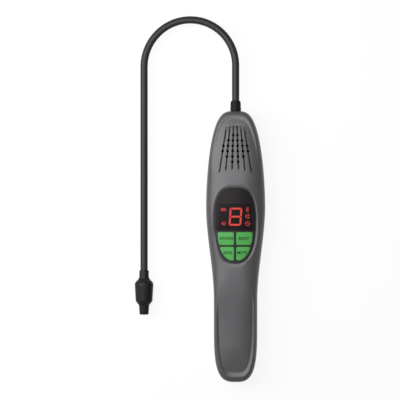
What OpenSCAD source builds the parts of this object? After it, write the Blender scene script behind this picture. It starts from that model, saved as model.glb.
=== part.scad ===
// Handheld refrigerant leak detector, lying on its back.
// +Y runs along the body to the gooseneck and +Z points out of the display.
// The origin is the middle of the flat back.

/* [Housing] */
// Length of the housing
body_len = 240; // [236:1:250]
// Width of the head where it is widest
head_w = 52.6; // [51.5:0.1:56]
// Width of the grip
grip_w = 38.4; // [37.5:0.1:41]
// Thickness of the head
head_t = 35.6; // [35:0.1:38]
// Thickness of the grip
grip_t = 32; // [31:0.1:34]
// Height of the parting line above the back
parting_z = 17; // [16.5:0.1:18]
// Wall of both shells
wall = 2.2; // [2:0.1:2.6]
// Distance from the top end to the widest place
head_from_top = 84; // [80:1:90]
// Distance from the top end to the waist, where the grip begins
waist_from_top = 168; // [160:1:172]
// Length over which the lower end rounds off
grip_round = 60; // [52:1:66]

/* [Front face] */
// Width of the raised rim along the sides
rim_w = 2.6; // [2.2:0.1:3.2]
// Width of the slope from the rim down to the face
rim_slope = 2.2; // [1.6:0.1:2.8]
// Depth of the face below the rim at both ends
tray_d = 2.2; // [1.4:0.1:2.4]
// Share of that depth by which the face swells up to its middle line
face_swell = 0.8; // [0.4:0.1:0.9]
// Width of a grille groove
groove_w = 1.4; // [1:0.1:1.6]
// Depth of a grille groove at its upper end
groove_d = 0.9; // [0.6:0.1:1]
// Diameter of a grille hole
hole_d = 1.7; // [1.4:0.1:1.9]
// Distance between holes along a groove
hole_pitch = 4.7; // [4.4:0.1:5]
// Distance between grooves at their upper ends
fan_top = 3.18; // [2.8:0.02:3.4]
// Distance between grooves at their lower ends
fan_low = 5.6; // [5:0.1:5.8]
// Length of the grille
grille_len = 38; // [36:0.5:40]
// Distance from the top end to the middle of the grille holes
sounder_from_top = 33.5; // [32:0.5:35]

/* [Panel] */
// Width of the oval panel
panel_w = 36.8; // [36:0.1:38]
// Length of the oval panel
panel_l = 66.6; // [66:0.1:68]
// Distance from the top end to the middle of the panel
panel_from_top = 101.5; // [100:0.5:104]
// Radius of the panel's crown across its width
crown_r = 66; // [60:1:80]
// Depth of the panel below the crest of the head
panel_drop = 0.6; // [0.4:0.1:1]
// Thickness of the panel plate
panel_t = 2.2; // [2:0.1:2.5]
// Gap around the panel in its recess
panel_gap = 0.35; // [0.2:0.05:0.5]
// Width of the sloping edge around the recess
recess_flare = 1.15; // [0.8:0.05:1.3]
// Width of the ledge that carries the panel
ledge_w = 0.9; // [0.8:0.1:1]
// Height of the panel's skirt at its sides
skirt_h = 2.5; // [2.2:0.1:3]
// Thickness of the display window
window_t = 1.2; // [1:0.1:1.4]
// Width of the border around the display window
window_border = 1.1; // [0.8:0.1:1.6]

/* [Keys] */
// Width of the field of four keys at its top
keys_w = 31.4; // [30:0.1:32]
// Length over which the sides of the key field draw in
keys_draw = 26; // [25.8:0.1:27]
// Height of the upper row of keys
upper_row = 11.8; // [11:0.1:12]
// Height of the lower row of keys
lower_row = 12.4; // [11.5:0.1:12.6]
// Gap between the left and the right keys
key_split = 1.8; // [1.4:0.1:2]
// Gap between the two rows of keys
row_split = 1.4; // [1.2:0.1:1.6]
// Gap between a key and its well
key_gap = 0.25; // [0.15:0.05:0.35]
// Height of a key above the panel
key_proud = 0.5; // [0.3:0.1:0.8]
// Travel of a key
key_travel = 0.8; // [0.5:0.1:0.9]
// Side of a tactile switch
switch_w = 6; // [5.5:0.1:6.5]
// Height of a tactile switch's body
switch_h = 3.5; // [3.2:0.1:4]

/* [Electronics] */
// Thickness of the circuit board
board_t = 1.6; // [1.2:0.1:2]
// Width of the display module
display_w = 28; // [26:0.5:28.5]
// Length of the display module
display_l = 22; // [20:0.5:23]
// Diameter of the sounder
sounder_d = 22; // [20:0.5:23]
// Height of the sounder
sounder_h = 6; // [5:0.5:8]

/* [Battery bay] */
// Diameter of a cell
cell_d = 14.5; // [14:0.1:14.6]
// Length of a cell with its button
cell_len = 50.5; // [49.5:0.1:51]
// Room for the leaf contact at each end of a cell
contact_room = 3.2; // [3:0.1:3.6]
// Thickness of the battery door
door_t = 2.4; // [2.2:0.1:2.6]
// Width of the battery door
door_w = 31; // [30.8:0.1:31.4]
// Travel of the battery door until its hooks come free
door_travel = 8; // [7:0.5:9]
// Gap around the battery door
door_gap = 0.25; // [0.2:0.05:0.3]

/* [Gooseneck] */
// Outer diameter of the sleeve
sleeve_d = 6.3; // [6:0.1:6.8]
// Radius of the bend at its middle
bend_r = 41.3; // [38:0.1:48]
// Height of the bend's centre above the housing's top end
bend_rise = 40.65; // [36:0.05:50]
// Length of the hanging leg from the bend down to the tip
leg_len = 182.25; // [160:0.25:190]
// Length of the strain relief outside the housing
boot_len = 9.2; // [8:0.1:14]
// Diameter of the strain relief at the housing
boot_d = 9.2; // [9:0.1:10]

/* [Sensor tip] */
// Diameter of the collar
collar_d = 8.54; // [8.3:0.02:9]
// Length of the collar with its flare
collar_len = 9.24; // [9:0.02:11]
// Largest diameter of the cap
cap_d = 16.68; // [16.2:0.02:18]
// Length of the cap
cap_len = 30.4; // [29.8:0.1:32]
// Diameter of the gas inlet
inlet_d = 5.2; // [4.6:0.1:5.4]
// Diameter of the spigot that carries the cap
spigot_d = 11.2; // [11:0.05:11.6]
// Gap between the spigot and the cap
cap_gap = 0.15; // [0.1:0.05:0.2]

/* [Hidden] */
$fn = 48;
touch = 0.01;

// Stations along the body
top_y = body_len / 2;
bottom_y = -top_y;
head_y = top_y - head_from_top;
waist_y = top_y - waist_from_top;
grip_y = bottom_y + grip_round;
panel_y = top_y - panel_from_top;
sounder_y = top_y - sounder_from_top;
panel_top_y = panel_y + panel_l / 2;
panel_low_y = panel_y - panel_l / 2;

// Lengths over which the front and the back round off at the ends
front_round = 60;
front_round_low = 45;
back_round = 45;
// Length over which the sunk face fades out towards the middle
tray_fade = 40;
// Depth that the rear form is cut back by to give the flat land
land_cut = 2;

// Panel and keys, from the front crest down
panel_z = head_t - panel_drop;
skirt_z = crown_z(panel_w / 2, 0) - skirt_h;
keys_low_y = panel_low_y + 2.2;
keys_top_y = keys_low_y + lower_row + row_split + upper_row;
window_low_y = keys_top_y + 1.9;
flange_grow = 0.4;
flange_t = 1.1;
flange_z = crown_z(keys_w / 2 + flange_grow, panel_t) - 0.3 - flange_t;
plunger_out = key_travel + 0.4;
plunger_in = 1.4;
plunger_d = 3.4;
switch_top = flange_z - plunger_out;
board_z = switch_top - switch_h;
display_y = window_low_y + 1.3 + display_l / 2;
display_top = crown_z(display_w / 2, window_t) - 0.4;

// Circuit board and its screws
board_w = panel_w - 2.2;
board_tail_w = 15;
board_top_y = panel_top_y + 14.2;
board_low_y = panel_low_y - 9;
board_step_y = panel_low_y - 0.4;
post_spots = [[-13, panel_top_y + 8.5], [13, panel_top_y + 8.5], [0, panel_low_y - 5.7]];
post_d = 4.4;
board_screw_d = 2.2;
board_screw_len = 6;
board_head_d = 4;
board_head_h = 1.4;

// Housing screws
screw_d = 3;
screw_head_d = 5.6;
screw_head_h = 2;
screw_seat = 8;
screw_reach = 9;
boss_d = 7;
screw_gap = 0.1;
waist_screw_y = panel_low_y - 6.2;
screw_spots = [for (s = [-1, 1], y = [sounder_y - 14, waist_screw_y]) [s * boss_x(y), y]];

// Battery bay, from the back up
seat_z = door_t + door_gap;
floor_z = seat_z + 1.75;
bay_top = waist_screw_y - 10.6;
bay_low = bay_top - cell_len - 2 * contact_room;
bay_wall = 1.6;
bay_w = 2 * cell_d + 0.8;
door_top = bay_top + 2.2;
door_low = bay_low - 15.5;
cell_x = cell_d / 2 + 0.2;
cell_z = door_t + 1.75 + cell_d / 2;
bay_ceiling = cell_z + cell_d / 2 + 0.35;
hook_l = 5;
hook_t = 1.1;
hook_reach = 0.9;
hook_ys = [bay_low + 14, bay_top - 8];
leaf_t = 0.4;
leaf_w = 0.62 * cell_d;
leaf_h = 0.69 * cell_d;
button_l = 1;
button_d = 0.37 * cell_d;
// Finger grip across the door
grip_ridges = 6;
ridge_pitch = 2.3;
ridge_r = 0.9;
ridge_w = 17;

// Gooseneck, in the plane of its bend
boot_top_d = 8.4;
sleeve_wall = 0.75;
core_d = sleeve_d - 2 * sleeve_wall - 0.1;
lead_d = 2.6;
core_bore = lead_d + 0.3;
inner_y = top_y - 14;
bend_y = top_y + bend_rise;
tip_y = bend_y - leg_len;
tilt = asin((parting_z - cap_d / 2) / (2 * bend_r));

// Sensor tip, measured along its axis from the collar's upper end
flare_d = 12.52;
flare_from = 5.2;
neck_bore = sleeve_d / 2 + 0.05;
neck_depth = 8;
spigot_len = 6.5;
spigot_end = collar_len + spigot_len;
groove_at = collar_len + 2.2;
ring_d = 1;
cap_end = collar_len + cap_len;
cap_bore = spigot_d / 2 + cap_gap;
socket_h = 3;
socket_d = 10;
filter_t = 1;
filter_at = collar_len + 17.3;
pin_ring = 3;
pin_d = 0.7;

// Smooth step from 0 to 1
function smooth(u) = let (t = max(0, min(1, u))) t * t * (3 - 2 * t);
// Superelliptic end that falls from 1 to 0
function fall(u, n, m) = pow(max(0, 1 - pow(max(0, u), n)), 1 / m);
// Half width of the housing's outline
function half_width(y) =
    y >= head_y ? head_w / 2 * fall((y - head_y) / (top_y - head_y), 1.7, 3.5)
    : y >= grip_y ? grip_w / 2 + (head_w - grip_w) / 2 * smooth((y - waist_y) / (head_y - waist_y))
    : grip_w / 2 * fall((grip_y - y) / (grip_y - bottom_y), 4.4, 3);
// Rounding of a face towards both ends
function end_round(y, upper, lower, n) =
    fall((y - top_y + upper) / upper, n, n) * fall((bottom_y + lower - y) / lower, n, n);
// Height of the front above the parting line, along the middle
function front_rise(y) =
    (grip_t + (head_t - grip_t) * smooth((y - grip_y - 5) / (panel_low_y - grip_y)) - parting_z)
    * end_round(y, front_round, front_round_low, 5);
// Sharpness of the front's section, boxy at both ends and round in the middle
function section_power(y) = 3 + 1.5 * max(smooth((y - panel_top_y) / tray_fade),
    smooth((panel_low_y - y) / tray_fade));
// Depth of the sunk face below the rim
function tray(y) = tray_d * max(smooth((y - panel_top_y - 7) / tray_fade),
    smooth((panel_low_y - 24 - y) / tray_fade));
// Length from each end over which the face begins to swell
swell_from = 8;
swell_len = 26;
// Share of the depth at a place of the face, which swells towards its middle line
function sunk(x, y) = 1 - face_swell * max(0, 1 - pow(x / max(half_width(y), touch) / 0.8, 2))
    * smooth((top_y - swell_from - y) / swell_len) * smooth((y - bottom_y - swell_from) / swell_len);
// Front of the housing, before the face is sunk
function front_z(x, y) = parting_z
    + front_rise(y) * fall(abs(x) / max(half_width(y), touch), section_power(y), section_power(y));
// Station on the outer form that a point of the inner form lies under
function outer_y(y) = y * top_y / (top_y - wall);
// Ceiling inside the front shell
function ceiling_z(x, y) = parting_z
    + max(0, front_rise(outer_y(y)) - wall - tray(y))
    * fall(abs(x) / max(half_width(outer_y(y)) - wall, touch), section_power(y), section_power(y));
// Back of the housing, with its flat land
function back_drop(y) = (parting_z + land_cut) * end_round(y, back_round, back_round, 3);
function back_z(x, y) = max(0, parting_z - back_drop(y) * fall(abs(x) / max(half_width(y), touch), 4, 4));
// Floor inside the rear shell, thicker where the battery door is let in
function floor_in(y) = y < door_top + 4 ? floor_z : wall;
function inner_back_z(x, y) = max(floor_in(y), parting_z - max(0, back_drop(outer_y(y)) - wall)
    * fall(abs(x) / max(half_width(outer_y(y)) - wall, touch), 4, 4));
// Height of the panel's crown, or of a face that lies a depth below it
function crown_z(x, depth) = panel_z - crown_r + sqrt(pow(crown_r - depth, 2) - x * x);
// Place of a screw boss beside the side wall
function boss_x(y) = half_width(y) - wall - boss_d / 2 - 2.6;

// Outline points, clockwise seen from the front
ring_n = 72;
ring_a = [for (i = [0 : ring_n - 1]) 360 * i / ring_n];
function side(a) = a % 180 == 0 ? 0 : a < 180 ? 1 : -1;
function edge_point(a) = let (y = top_y * cos(a)) [side(a) * half_width(y), y];
function edge_normal(a) = let (t = edge_point((a + 0.5) % 360) - edge_point((a + 359.5) % 360))
    [-t.y, t.x] / norm(t);
// Outline moved inwards by a distance, and by more at the top end and the lower end
function rim_ring(d, top, low) = [for (a = ring_a) let (n = edge_normal(a))
    edge_point(a) - (d + (n.y > 0 ? top : low) * n.y * n.y) * n];
// Outline moved inwards by a distance
function inset_ring(d) = [for (a = ring_a) edge_point(a) - d * edge_normal(a)];
// Outline of the cavity
function wall_ring() = [for (a = ring_a) let (p = edge_point(a))
    [side(a) * max(0, abs(p.x) - wall), p.y * (top_y - wall) / top_y]];
// Ring drawn towards the middle line
function drawn_ring(ring, s, k) = [for (p = ring) [p.x * s, p.y * (1 - k * (1 - s))]];

// Extra width of the rim at the top end and at the lower end, and of its slope at the lower end
rim_top_extra = 3.4;
rim_low_extra = 1.7;
slope_low_extra = 2.2;
// Insets of the rings over the front's shoulder, up to the rim, as shares of its width
shoulder = [0, 0.05, 0.16, 0.36, 0.66];
// Scales of the rings over the back, down to the flat land
back_scales = [1, 0.985, 0.95, 0.9, 0.84, 0.774, 0.4];
// How far the rings draw back from the ends
front_draw = 0.16;
back_draw = 0.56;

// Ring on the slope from the rim, at a share of its width
function slope_ring(u) =
    [for (p = rim_ring(rim_w + u * rim_slope, rim_top_extra, rim_low_extra + u * slope_low_extra))
        [p.x, p.y, front_z(p.x, p.y) - smooth(u) * tray(p.y) * sunk(p.x, p.y)]];
function front_outer() = concat(
    [for (u = shoulder) [for (p = inset_ring(u * rim_w)) [p.x, p.y, front_z(p.x, p.y)]]],
    [for (u = [0, 0.3, 0.7]) slope_ring(u)],
    [for (s = [1, 0.86, 0.7, 0.5, 0.3, 0.12]) [for (p = drawn_ring(slope_ring(1), s, front_draw))
        [p.x, p.y, face_z(p.x, p.y)]]]);
function front_inner() = [for (s = [1, 0.96, 0.86, 0.6, 0.3]) [for (p = drawn_ring(wall_ring(), s, front_draw))
    [p.x, p.y, s == 1 ? parting_z : ceiling_z(p.x, p.y)]]];
function back_outer() = [for (s = back_scales) [for (p = drawn_ring(inset_ring(0), s, back_draw))
    [p.x, p.y, back_z(p.x, p.y)]]];
function back_inner() = [for (s = back_scales) [for (p = drawn_ring(wall_ring(), s, back_draw))
    [p.x, p.y, s == 1 ? parting_z : inner_back_z(p.x, p.y)]]];

// Two triangles of a square between neighbouring rings
function square_faces(a, b, c, d) = [[a, b, c], [a, c, d]];
// Faces between the rings, with a strip over the last ring
function bowl_faces(first, count) = concat(
    [for (k = [0 : count - 2], i = [0 : ring_n - 1]) let (j = (i + 1) % ring_n, o = first + k * ring_n)
        each square_faces(o + i, o + j, o + ring_n + j, o + ring_n + i)],
    [for (i = [0 : ring_n / 2 - 1]) let (o = first + (count - 1) * ring_n, i2 = (ring_n - i) % ring_n,
        j2 = ring_n - i - 1)
        each i == 0 ? [[o, o + 1, o + j2]]
            : i == ring_n / 2 - 1 ? [[o + i, o + i + 1, o + i2]]
            : square_faces(o + i, o + i + 1, o + j2, o + i2)]);
function turned(faces, yes) = yes ? [for (f = faces) [f[2], f[1], f[0]]] : faces;

// Shell between an outer and an inner bowl that meet at the parting line
module bowl_shell(outer, inner, face_down) {
    first = len(outer) * ring_n;
    lip = [for (i = [0 : ring_n - 1]) let (j = (i + 1) % ring_n)
        each square_faces(i, first + i, first + j, j)];
    faces = concat(bowl_faces(0, len(outer)), turned(bowl_faces(first, len(inner)), true), lip);
    polyhedron([for (ring = concat(outer, inner)) each ring], turned(faces, face_down));
}

// Solid under one bowl, closed at the parting line
module bowl_solid(outer, face_down) {
    lid = [for (i = [1 : ring_n - 2]) [0, i + 1, i]];
    polyhedron([for (ring = outer) each ring], turned(concat(bowl_faces(0, len(outer)), lid), face_down));
}

egg_a = [for (i = [0 : 71]) 5 * i];
// Point of the panel's egg, fuller at its upper end, moved outwards by a distance
function oval_point(i, grow) = let (c = cos(i), s = sin(i), e = 2 / (s > 0 ? 3 : 2.2))
    [(panel_w / 2 + grow) * sign(c) * pow(abs(c), e),
    panel_y + (panel_l / 2 + grow) * sign(s) * pow(abs(s), e)];

// Egg of the panel
module oval(grow) {
    polygon([for (i = egg_a) oval_point(i, grow)]);
}

// Egg as a level ring of points
function oval_ring(grow, z) = [for (i = egg_a) concat(oval_point(i, grow), z)];
// Faces between rings of the egg, closed at both ends
function oval_faces(count) = let (n = len(egg_a), last = n * (count - 1)) concat(
    [for (k = [0 : count - 2], i = [0 : n - 1]) let (j = (i + 1) % n, o = k * n)
        each square_faces(o + i, o + n + i, o + n + j, o + j)],
    [for (i = [1 : n - 2]) each [[0, i, i + 1], [last, last + i + 1, last + i]]]);

// Recess of the panel, with an edge that slopes down from the front
module recess() {
    edge = [for (i = egg_a) let (p = oval_point(i, panel_gap)) concat(p, crown_z(p.x, 0.2))];
    brim = [for (i = egg_a) let (p = oval_point(i, panel_gap + recess_flare))
        concat(p, front_z(p.x, p.y) + 2 * touch)];
    rings = [oval_ring(panel_gap, skirt_z), edge, brim, oval_ring(panel_gap + recess_flare + 0.2, head_t + 2)];
    polyhedron([for (ring = rings) each ring], oval_faces(len(rings)));
}

// Oval block up to the panel's crown, or to a depth below it
module oval_block(grow, depth, low) {
    intersection() {
        translate([0, 0, low]) linear_extrude(panel_z - low + 1) oval(grow);
        crown(depth);
    }
}

// Cylinder that gives the panel's crown, at a depth below it
module crown(depth) {
    translate([0, panel_y + panel_l, panel_z - crown_r]) rotate([90, 0, 0])
        cylinder(r = crown_r - depth, h = 2 * panel_l, $fn = 180);
}

// Straight round bar along the body
module bar_y(d, y0, y1) {
    translate([0, y0, 0]) rotate([-90, 0, 0]) cylinder(d = d, h = y1 - y0);
}

// Column of the fan of grooves: k counts from the middle
function fan_x(k, y) = k * (fan_low + (fan_top - fan_low) * (y - fan_low_y(k)) / (fan_top_y(k) - fan_low_y(k)));
function fan_top_y(k) = sounder_y + grille_len / 2 - 0.21 * k * k;
function fan_low_y(k) = sounder_y - grille_len / 2 + 0.5 - 0.42 * k * k;
function face_z(x, y) = front_z(x, y) - tray(y) * sunk(x, y);

// One grille groove with round ends, which runs out towards its lower end
module groove(k) {
    a = [k * fan_top, fan_top_y(k)];
    b = [k * fan_low, fan_low_y(k)];
    run = b - a;
    fall_z = face_z(b.x, b.y) - face_z(a.x, a.y) + 0.6 * groove_d;
    translate([a.x, a.y, face_z(a.x, a.y) - groove_d])
        rotate([0, 0, atan2(run.y, run.x)]) rotate([0, -atan2(fall_z, norm(run)), 0]) {
            translate([0, -groove_w / 2, 0]) cube([norm(run), groove_w, 4]);
            cylinder(d = groove_w, h = 4);
            translate([norm(run), 0, 0]) cylinder(d = groove_w, h = 4);
        }
}

// Round holes along one groove
module groove_holes(k) {
    n = 7 - 2 * abs(k);
    for (j = [0 : n - 1]) {
        y = sounder_y + (j - (n - 1) / 2) * hole_pitch;
        translate([fan_x(k, y), y, parting_z]) cylinder(d = hole_d, h = head_t);
    }
}

fan_columns = [-2.5, -1.5, -0.5, 0.5, 1.5, 2.5];
sounder_gap = 0.15;
rib_t = 1.2;
rib_r = sounder_d / 2 + sounder_gap + rib_t;
sounder_top = min(ceiling_z(rib_r, sounder_y), ceiling_z(0, sounder_y + rib_r)) - 0.2;

// Round pocket that holds the sounder under the grille
module sounder_rib() {
    translate([0, sounder_y, sounder_top - sounder_h * 0.6]) difference() {
        cylinder(r = rib_r, h = sounder_h * 0.6 + 1.2);
        translate([0, 0, -1]) cylinder(r = rib_r - rib_t, h = sounder_h + 3);
    }
}

// Half round seat for the strain relief and the gooseneck
module boot_seat() {
    translate([0, 0, parting_z]) bar_y(boot_d - 1 + 0.2, top_y - 8, top_y + 5);
}

module front_shell() {
    color([0.38, 0.38, 0.39]) difference() {
        union() {
            bowl_shell(front_outer(), front_inner(), false);
            difference() {
                oval_block(panel_gap + 1.8, 0.6, skirt_z - 1.5);
                translate([0, 0, skirt_z - 3]) linear_extrude(head_t) oval(-ledge_w);
            }
            for (p = screw_spots) translate([p.x, p.y, parting_z])
                cylinder(d = boss_d, h = ceiling_z(abs(p.x) + boss_d / 2, p.y) + 1 - parting_z);
            for (p = post_spots) translate([p.x, p.y, board_z])
                cylinder(d = post_d, h = ceiling_z(abs(p.x) + post_d / 2, p.y) + 1 - board_z);
            sounder_rib();
        }
        recess();
        translate([0, 0, skirt_z - 3]) linear_extrude(head_t) oval(-ledge_w);
        for (p = screw_spots) translate([p.x, p.y, parting_z - 1])
            cylinder(d = screw_d + 2 * screw_gap, h = screw_reach + 2);
        for (p = post_spots) translate([p.x, p.y, board_z - 1])
            cylinder(d = board_screw_d + 2 * screw_gap, h = board_screw_len);
        for (k = fan_columns) groove(k);
        for (k = fan_columns) groove_holes(k);
        boot_seat();
    }
}

module rear_shell() {
    color([0.33, 0.33, 0.34]) difference() {
        union() {
            bowl_shell(back_outer(), back_inner(), true);
            for (p = screw_spots) translate([p.x, p.y, wall / 2])
                cylinder(d = boss_d + 0.6, h = parting_z - wall / 2);
            for (y = [bay_low - bay_wall, bay_top]) translate([-bay_w / 2, y, floor_z - 1])
                cube([bay_w, bay_wall, bay_ceiling + 1.2 - floor_z + 1]);
            translate([-bay_w / 2, bay_low - bay_wall, bay_ceiling])
                cube([bay_w, bay_top - bay_low + 2 * bay_wall, 1.2]);
        }
        for (p = screw_spots) translate([p.x, p.y, -1]) {
            cylinder(d = screw_d + 2 * screw_gap, h = parting_z + 2);
            cylinder(d = screw_head_d + 4 * screw_gap, h = screw_seat + 1);
        }
        translate([-door_w / 2 - door_gap, bottom_y - 1, -1])
            cube([door_w + 2 * door_gap, door_top + door_gap - bottom_y + 1, seat_z + 1]);
        translate([-bay_w / 2, bay_low, -1]) cube([bay_w, bay_top - bay_low, floor_z + 2]);
        for (y = hook_ys) translate([-hook_end - door_gap, y - hook_l / 2 - door_travel - door_gap, -1])
            cube([2 * (hook_end + door_gap), hook_l + 2 * door_gap, floor_z + 2]);
        for (y = hook_ys) translate([-hook_end - door_gap, y - hook_l / 2 - door_travel - door_gap, floor_z])
            cube([2 * (hook_end + door_gap), hook_l + door_travel + 2 * door_gap, hook_t + 2 * door_gap]);
        boot_seat();
    }
}

hook_end = bay_w / 2 + hook_reach;

// Door plate with two hooks on each side and a rib under each cell
module battery_door() {
    color([0.31, 0.31, 0.32]) {
        difference() {
            intersection() {
                bowl_solid(back_outer(), true);
                translate([-door_w / 2, door_low, -1]) cube([door_w, door_top - door_low, door_t + 1]);
            }
            for (i = [0 : grip_ridges - 1])
                translate([-ridge_w / 2, door_low + 7 + i * ridge_pitch, -0.35])
                    rotate([0, 90, 0]) cylinder(r = ridge_r, h = ridge_w, $fn = 24);
        }
        for (s = [-1, 1]) {
            translate([s * cell_x - 0.6, bay_low + door_travel + 1, door_t - touch])
                cube([1.2, cell_len - door_travel - 3, 1.45 + touch]);
            for (y = hook_ys) translate([0, y + hook_l / 2, 0]) rotate([90, 0, 0])
                linear_extrude(hook_l) scale([s, 1]) hook_section();
        }
    }
}

// Section of a door hook that reaches over the ledge beside the bay
module hook_section() {
    z = floor_z + door_gap;
    x = bay_w / 2 - door_gap;
    polygon([[x - 1.5, door_t - touch], [x, door_t - touch], [x, z], [hook_end, z], [hook_end, z + hook_t],
        [x - 1.5, z + hook_t]]);
}

module panel_bezel() {
    color([0.16, 0.16, 0.17]) difference() {
        oval_block(0, 0, skirt_z);
        oval_block(-ledge_w, panel_t, skirt_z - 1);
        window_form(0.1, window_t + 0.05, -1);
        translate([-display_w / 2 - 0.3, display_y - display_l / 2 - 0.3, skirt_z])
            cube([display_w + 0.6, display_l + 0.6, head_t]);
        for (row = [0, 1], s = [-1, 1]) translate([0, 0, skirt_z - 1])
            linear_extrude(head_t) scale([s, 1]) key_outline(row, key_gap);
    }
}

// Upper part of the oval between two depths below the crown
module window_form(grow, depth, top) {
    intersection() {
        translate([0, 0, skirt_z]) linear_extrude(head_t - skirt_z + 1) oval(grow - window_border);
        difference() {
            crown(top);
            crown(depth);
        }
        translate([-panel_w, window_low_y - grow, skirt_z]) cube([2 * panel_w, panel_l, head_t]);
    }
}

module display_window() {
    color([0.03, 0.03, 0.035]) window_form(0, window_t, 0);
}

// Lower and upper edge of a row of keys, 0 for the upper row
function row_top(row) = keys_top_y - row * (upper_row + row_split);
function row_low(row) = row_top(row) - (row == 0 ? upper_row : lower_row);
function row_mid(row) = (row_top(row) + row_low(row)) / 2;
// Outer edge of the key field
function key_edge(y) = keys_w / 2 * fall((keys_top_y - y) / keys_draw, 2.1, 2.1);
function key_mid_x(row) = (key_split / 2 + key_edge(row_mid(row))) / 2;

// Outward direction of the key field's edge
function key_normal(y) = let (d = key_edge(y + 0.05) - key_edge(y - 0.05)) [0.1, -d] / norm([0.1, -d]);

// Outline of a right hand key with cut corners, moved outwards by a distance
module key_outline(row, grow) {
    low = row_low(row);
    top = row_top(row);
    x0 = key_split / 2 - grow;
    y0 = low - grow;
    y1 = top + grow;
    c = 0.9;
    c_low = row == 0 ? c : c / 3;
    steps = 10;
    outer = [for (i = [0 : steps]) let (y = low + c_low + (top - low - c_low - c) * i / steps)
        [key_edge(y), y] + grow * key_normal(y)];
    polygon(concat([[x0 + c, y0], [key_edge(low) - c_low / 2, y0]], outer,
        [[key_edge(top) + grow - c, y1], [x0 + c, y1], [x0 + 0.3 * c, y1 - 0.3 * c], [x0, y1 - c],
        [x0, y0 + c], [x0 + 0.3 * c, y0 + 0.3 * c]]));
}

// Key cap with a flange that the panel holds down
module key(row, s) {
    color([0.37, 0.72, 0.38]) {
        intersection() {
            translate([0, 0, flange_z]) linear_extrude(head_t) scale([s, 1]) key_outline(row, 0);
            crown(-key_proud);
        }
        translate([0, 0, flange_z]) linear_extrude(flange_t) scale([s, 1]) key_outline(row, flange_grow);
    }
}

module plunger(row, s) {
    color([0.12, 0.12, 0.12]) translate([s * key_mid_x(row), row_mid(row), switch_top - plunger_in])
        cylinder(d = plunger_d, h = plunger_in + plunger_out);
}

module tact_switch(row, s) {
    well = plunger_in + key_travel + 0.2;
    color([0.55, 0.55, 0.57]) translate([s * key_mid_x(row), row_mid(row), board_z]) difference() {
        translate([-switch_w / 2, -switch_w / 2, 0]) cube([switch_w, switch_w, switch_h]);
        translate([0, 0, switch_h - well]) cylinder(d = plunger_d + 0.2, h = well + 1);
    }
}

module power_key() { key(0, -1); }
module reset_key() { key(0, 1); }
module sensitivity_key() { key(1, -1); }
module mute_key() { key(1, 1); }
module power_plunger() { plunger(0, -1); }
module reset_plunger() { plunger(0, 1); }
module sensitivity_plunger() { plunger(1, -1); }
module mute_plunger() { plunger(1, 1); }
module power_switch() { tact_switch(0, -1); }
module reset_switch() { tact_switch(0, 1); }
module sensitivity_switch() { tact_switch(1, -1); }
module mute_switch() { tact_switch(1, 1); }

// Display module with a recessed face
module led_display() {
    color([0.1, 0.1, 0.1]) translate([-display_w / 2, display_y - display_l / 2, board_z]) difference() {
        cube([display_w, display_l, display_top - board_z]);
        translate([1, 1, display_top - board_z - 0.5]) cube([display_w - 2, display_l - 2, 1]);
    }
}

// Board with a narrow tail between the waist bosses
module circuit_board() {
    w = board_w / 2;
    t = board_tail_w / 2;
    color([0.1, 0.35, 0.2]) difference() {
        translate([0, 0, board_z - board_t]) linear_extrude(board_t)
            polygon([[-w, board_step_y], [-w, board_top_y], [w, board_top_y], [w, board_step_y],
                [t, board_step_y], [t, board_low_y], [-t, board_low_y], [-t, board_step_y]]);
        for (p = post_spots) translate([p.x, p.y, 0]) cylinder(d = board_screw_d + 0.3, h = head_t);
    }
}

module board_screws() {
    color([0.7, 0.7, 0.72]) for (p = post_spots) translate([p.x, p.y, board_z - board_t]) {
        cylinder(d = board_screw_d, h = board_screw_len);
        translate([0, 0, -board_head_h]) difference() {
            cylinder(d = board_head_d, h = board_head_h);
            translate([-1.4, -0.3, -1]) cube([2.8, 0.6, 1.6]);
        }
    }
}

connector_low = parting_z - lead_d / 2 - 1.2;
connector_l = 8;
lead_y = board_top_y - 2;

// Plug under the board where the sensor lead ends
module lead_connector() {
    color([0.85, 0.84, 0.8]) translate([-4, lead_y - connector_l, connector_low]) difference() {
        cube([8, connector_l, board_z - board_t - connector_low]);
        translate([4, connector_l / 2, parting_z - connector_low])
            bar_y(lead_d + 0.2, 0, connector_l);
    }
}

// Sounder with a sound hole in its face
module sounder() {
    color([0.08, 0.08, 0.08]) translate([0, sounder_y, sounder_top - sounder_h]) difference() {
        cylinder(d = sounder_d, h = sounder_h);
        translate([0, 0, sounder_h - 1]) cylinder(d = 3, h = 2);
    }
}

// Cell with its button at the end that the sign names
module cell(x, s) {
    half = (cell_len - button_l) / 2;
    color([0.7, 0.55, 0.25]) translate([x, (bay_low + bay_top) / 2 - s * button_l / 2, cell_z]) {
        bar_y(cell_d, -half, half);
        translate([0, s * half, 0]) bar_y(button_d, s > 0 ? -touch : -button_l, s > 0 ? button_l : touch);
    }
}

module cell_left() { cell(-cell_x, 1); }
module cell_right() { cell(cell_x, -1); }

// Leaf folded from a strip, with its crest against the cell
module leaf(w) {
    r = contact_room - 0.05;
    h = leaf_h / 2;
    translate([-w / 2, 0, 0]) rotate([90, 0, 90]) linear_extrude(w)
        polygon([[0, -h], [leaf_t, -h], [leaf_t, -0.6 * h], [r, -0.12 * h], [r, 0.12 * h], [leaf_t, 0.6 * h],
            [leaf_t, h], [0, h], [0, 0.64 * h], [leaf_t / 2, 0.52 * h], [r - leaf_t, 0.08 * h],
            [r - leaf_t, -0.08 * h], [leaf_t / 2, -0.52 * h], [0, -0.64 * h]]);
}

module top_contact(x) {
    color([0.8, 0.8, 0.78]) translate([x, bay_top - touch, cell_z]) mirror([0, 1, 0]) leaf(leaf_w);
}

module contact_left() { top_contact(-cell_x); }
module contact_right() { top_contact(cell_x); }

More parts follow.
